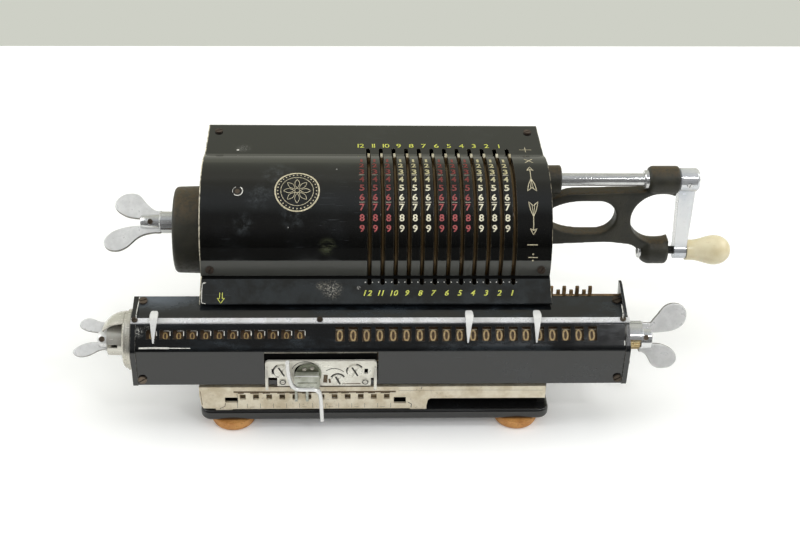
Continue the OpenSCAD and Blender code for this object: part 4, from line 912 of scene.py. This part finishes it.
# Shift lever: a polished strip, the round cam with two screws that it turns,
# and the block between them with a flange and two lit edges.
sol = Solid()
strip = smooth_path([(-46.6, 50.4), (-46.6, 46.0), (-46.0, 40.4), (-44.9, 36.0), (-43.2, 33.6), (-40.6, 32.6),
                     (-33.2, 32.4), (-30.9, 31.2), (-29.8, 28.6), (-29.3, 22.0), (-28.9, 11.2)], 4, False)
sol.ribbon(strip, [1.5] * len(strip), lambda u, v, w: (u, -79.7 + w, v), 2.0)
sol.turned((-35.8, -75.7, 39.8), (0, -1, 0), [(0, 6.7), (1.0, 6.7), (1.3, 6.3), (1.3, 0)], slot_no=3)
for x, z in ((-38.0, 43.6), (-34.0, 44.3)):
    sol.turned((x, -76.9, z), (0, -1, 0), [(0, 1.2), (0.5, 1.2), (0.8, 0.8), (0.8, 0)], 20, 2)
block = smooth_path([(-43.3, 41.6), (-43.5, 37.6), (-42.2, 34.4), (-38.0, 33.4), (-33.0, 33.0), (-30.6, 32.6),
                     (-29.9, 35.0), (-30.0, 40.6), (-31.4, 41.6), (-36.0, 41.7), (-41.0, 41.8)], 4)
sol.slab(block, lambda u, v, w: (u, -79.4 + w, v), 1.2, 0.35, 1)
sol.bar(-42.8, -30.4, [(-80.1, 40.9), (-80.1, 41.8), (-76.8, 41.9), (-76.8, 40.9)], 1)
sol.bar(-42.6, -30.6, [(-80.25, 41.2), (-80.25, 41.6), (-79.9, 41.7), (-79.9, 41.2)])
sol.bar(-41.6, -31.4, [(-80.15, 36.6), (-80.15, 37.0), (-79.9, 37.0), (-79.9, 36.6)], 3)
sol.make("shift_lever_bent", ["nickel_polished", "cam_grey", "steel", "cam_olive"], "shift_lever", "chrome",
         "shift_lever")

# Tens carry fingers in pairs behind the carriage, on their rod.
sol = Solid()
sol.turned((-29.9, -43.4, 66.8), RIGHT, [(0, 1.0), (161.0, 1.0)], 16)
for i in range(21):
    for off, top in ((-1.6, 70.2), (1.5, 72.6)):
        x = -26.4 + PITCH * i + off
        sol.bar(x - 0.9, x + 0.9, [(-44.4, 65.6), (-42.4, 65.6), (-41.6, top - 2.0), (-41.9, top - 0.3),
                                   (-42.6, top), (-43.4, top - 0.5), (-43.9, top - 2.4)])
sol.make("tens_fingers", ["bronze_finger"], "carriage", "bronze", "tens_levers")

# Painted highlights, standing for reflections on edges: at the counter windows' right edges, round the carriage's top
# and ends, and above the product windows.
glint, window_glint = Marks(), Marks()
slope = on_plane(RIDGE, RIGHT, SLOPE_UP)
for x in COUNTER_X:
    glint.lines(slope, (0.42, (x + 2.75, -3.6), (x + 2.75, -5.9)),
                (0.12, (x - 0.6, -3.35), (x + 1.6, -3.3), (x + 2.6, -3.5)))
for x in PRODUCT_X:
    window_glint.line([(x - 2.0, -3.0), (x + 1.8, -3.0)], 0.14, slope)
glint.lines(slope, (0.9, (-123.6, -12.3), (-117.0, -12.2), (-108.0, -12.3)), (0.4, (-108.0, -12.3), (-97.0, -12.4)),
            (0.5, (130.5, -9.0), (130.5, -11.6)), (0.5, (130.1, 5.3), (129.8, 2.0)),
            (0.4, (-125.2, 5.3), (-125.2, 1.2)))
glint.lines(on_plane((0, 0, 68.1), RIGHT, BACK, 0.08), (0.5, (130.7, -53.5), (130.1, -61.0)),
            (0.4, (-125.2, -61.0), (-125.2, -46.0)))
glint.make("casing_glints", "worn_edge_and_glint", "carriage", "black_enamel")
window_glint.make("product_window_glints", "paint_bar_and_glint", "carriage", "black_enamel")

# Right end plate: its fin above the rail is thin and leans inward.
FIN_FOOT, fin_inner = 0.062, C(131.1, 0, 0).x


def fin_shift(p):
    if p.z <= FIN_FOOT:
        return 0.0
    return -0.0022 * (p.z - FIN_FOOT) / 0.014 + (0.0011 if abs(p.x - fin_inner) < 1e-4 else 0.0)


reshape("end_plate_right", "end_plate_fin", fin_shift)

# Round-headed screw in the right end plate.
sol = Solid()
sol.turned((133.6, -68.5, 41.5), RIGHT, [(0, 2.6), (0.5, 2.6), (1.2, 2.1), (1.7, 1.2), (1.9, 0)], 24)
sol.make("end_screw", ["screw_painted"], "carriage", "dark_steel")

# ---------------- stage
# A white table; its far edge is where the photograph's table ends. Reflections
# show it white, except where the room in front of the machine was dark.
me = bpy.data.meshes.new("table_top")
me.from_pydata([(-3, -3, 0), (3, -3, 0), C(3024, 458.4, 0), C(-2976, 368.3, 0)], [], [(0, 1, 2, 3)])
table = new_object("table_top", me)
k = Mat("table_white", Roughness=0.55, Specular_IOR_Level=0.1, Emission_Color=(1, 1, 0.985, 1))
ray = k.add("ShaderNodeLightPath").outputs
tone = k.mix(k.step(k.noise(3, 3, 0.5), 0.3, 0.7), (0.86, 0.86, 0.855, 1), (0.84, 0.84, 0.835, 1))
lit = k.step(k.axis(Y), -0.2185, -0.2085, 0.04, 1.0)
tone = k.mix(ray["Is Glossy Ray"], tone, k.mix(lit, (0.02, 0.02, 0.02, 1), (0.98, 0.98, 0.96, 1)))
k.set("Base_Color", k.mix(ray["Is Camera Ray"], tone, (0.97, 0.97, 0.965, 1)))
k.set("Emission_Strength", k.times(ray["Is Camera Ray"], 0.09))
me.materials.append(k.m)

# The room as a ramp over the top: 0 is straight behind the machine, 0.5 above
# it, 1 in front. The camera itself sees a plain wall.
world = bpy.data.worlds.new("studio")
bpy.context.scene.world = world
world.use_nodes = True
k = Nodes(world.node_tree, "Generated")
angle = k.calc("ARCTAN2", k.calc("ABSOLUTE", k.axis(Z)), k.axis(Y))
room = k.add("ShaderNodeValToRGB", {"Fac": k.calc("DIVIDE", angle, math.pi)})
STOPS = [(0.0, (0.6, 0.6, 0.52)), (0.1, (0.58, 0.59, 0.48)), (0.13, (0.66, 0.67, 0.54)), (0.15, (0.5, 0.51, 0.42)),
         (0.2, (0.47, 0.48, 0.4)), (0.31, (0.5, 0.5, 0.43)), (0.36, (0.55, 0.55, 0.48)), (0.42, (0.4, 0.4, 0.35)),
         (0.55, (0.38, 0.4, 0.4)), (0.61, (0.37, 0.39, 0.4)), (0.66, (0.29, 0.31, 0.31)), (0.72, (0.15, 0.15, 0.15)),
         (0.81, (0.14, 0.14, 0.135)), (0.86, (0.11, 0.11, 0.11)), (0.92, (0.05, 0.05, 0.05)),
         (1.0, (0.02, 0.02, 0.02))]
ramp = room.color_ramp.elements
while len(ramp) < len(STOPS):
    ramp.new(0.5)
for stop, (position, colour) in zip(ramp, STOPS):
    stop.position, stop.color = position, (*colour, 1)
camera_ray = k.add("ShaderNodeLightPath").outputs["Is Camera Ray"]
background = world.node_tree.nodes["Background"]
k.link(k.mix(camera_ray, room.outputs[0], rgb(206, 208, 198)), background.inputs["Color"])
background.inputs["Strength"].default_value = 1.0


def lamp(name, location, target, size, watts, glossy=True):
    light = bpy.data.lights.new(name, "AREA")
    light.shape, light.size, light.size_y, light.energy = "RECTANGLE", *size, watts
    o = new_object(name, light)
    o.location = location
    o.rotation_euler = (Vector(target) - Vector(location)).to_track_quat("-Z", "Y").to_euler()
    o.visible_glossy = glossy


lamp("window_left", (-1.5, 0.1, 1.1), (0, 0, 0.05), (1.2, 1.0), 10.5)
lamp("window_right", (1.6, 0.1, 1.1), (0, 0, 0.05), (1.2, 1.0), 10.5)
lamp("ceiling", (0, 0.1, 2.0), (0, 0, 0), (2.0, 1.6), 14, glossy=False)
lamp("front_fill", (0.0, -1.7, 1.3), (0, -0.1, 0), (2.4, 1.0), 12.5, glossy=False)
for x in (0.44, 0.60):
    lamp(f"pane_{x:.2f}", (x, -0.72, 1.02), (0.16, -0.03, 0.09), (0.09, 0.09), 1.0)

# The camera solved from the photograph.
cam = new_object("camera", bpy.data.cameras.new("camera"))
cam.location = C(-20.901, -641.951, 490.729)
cam.rotation_euler = (0.97650404, -0.02545645, -0.03825439)
cam.data.lens, cam.data.sensor_width = 61.65, 36
cam.data.clip_start = 0.01
bpy.context.scene.camera = cam
bpy.context.scene.view_settings.view_transform = "Standard"
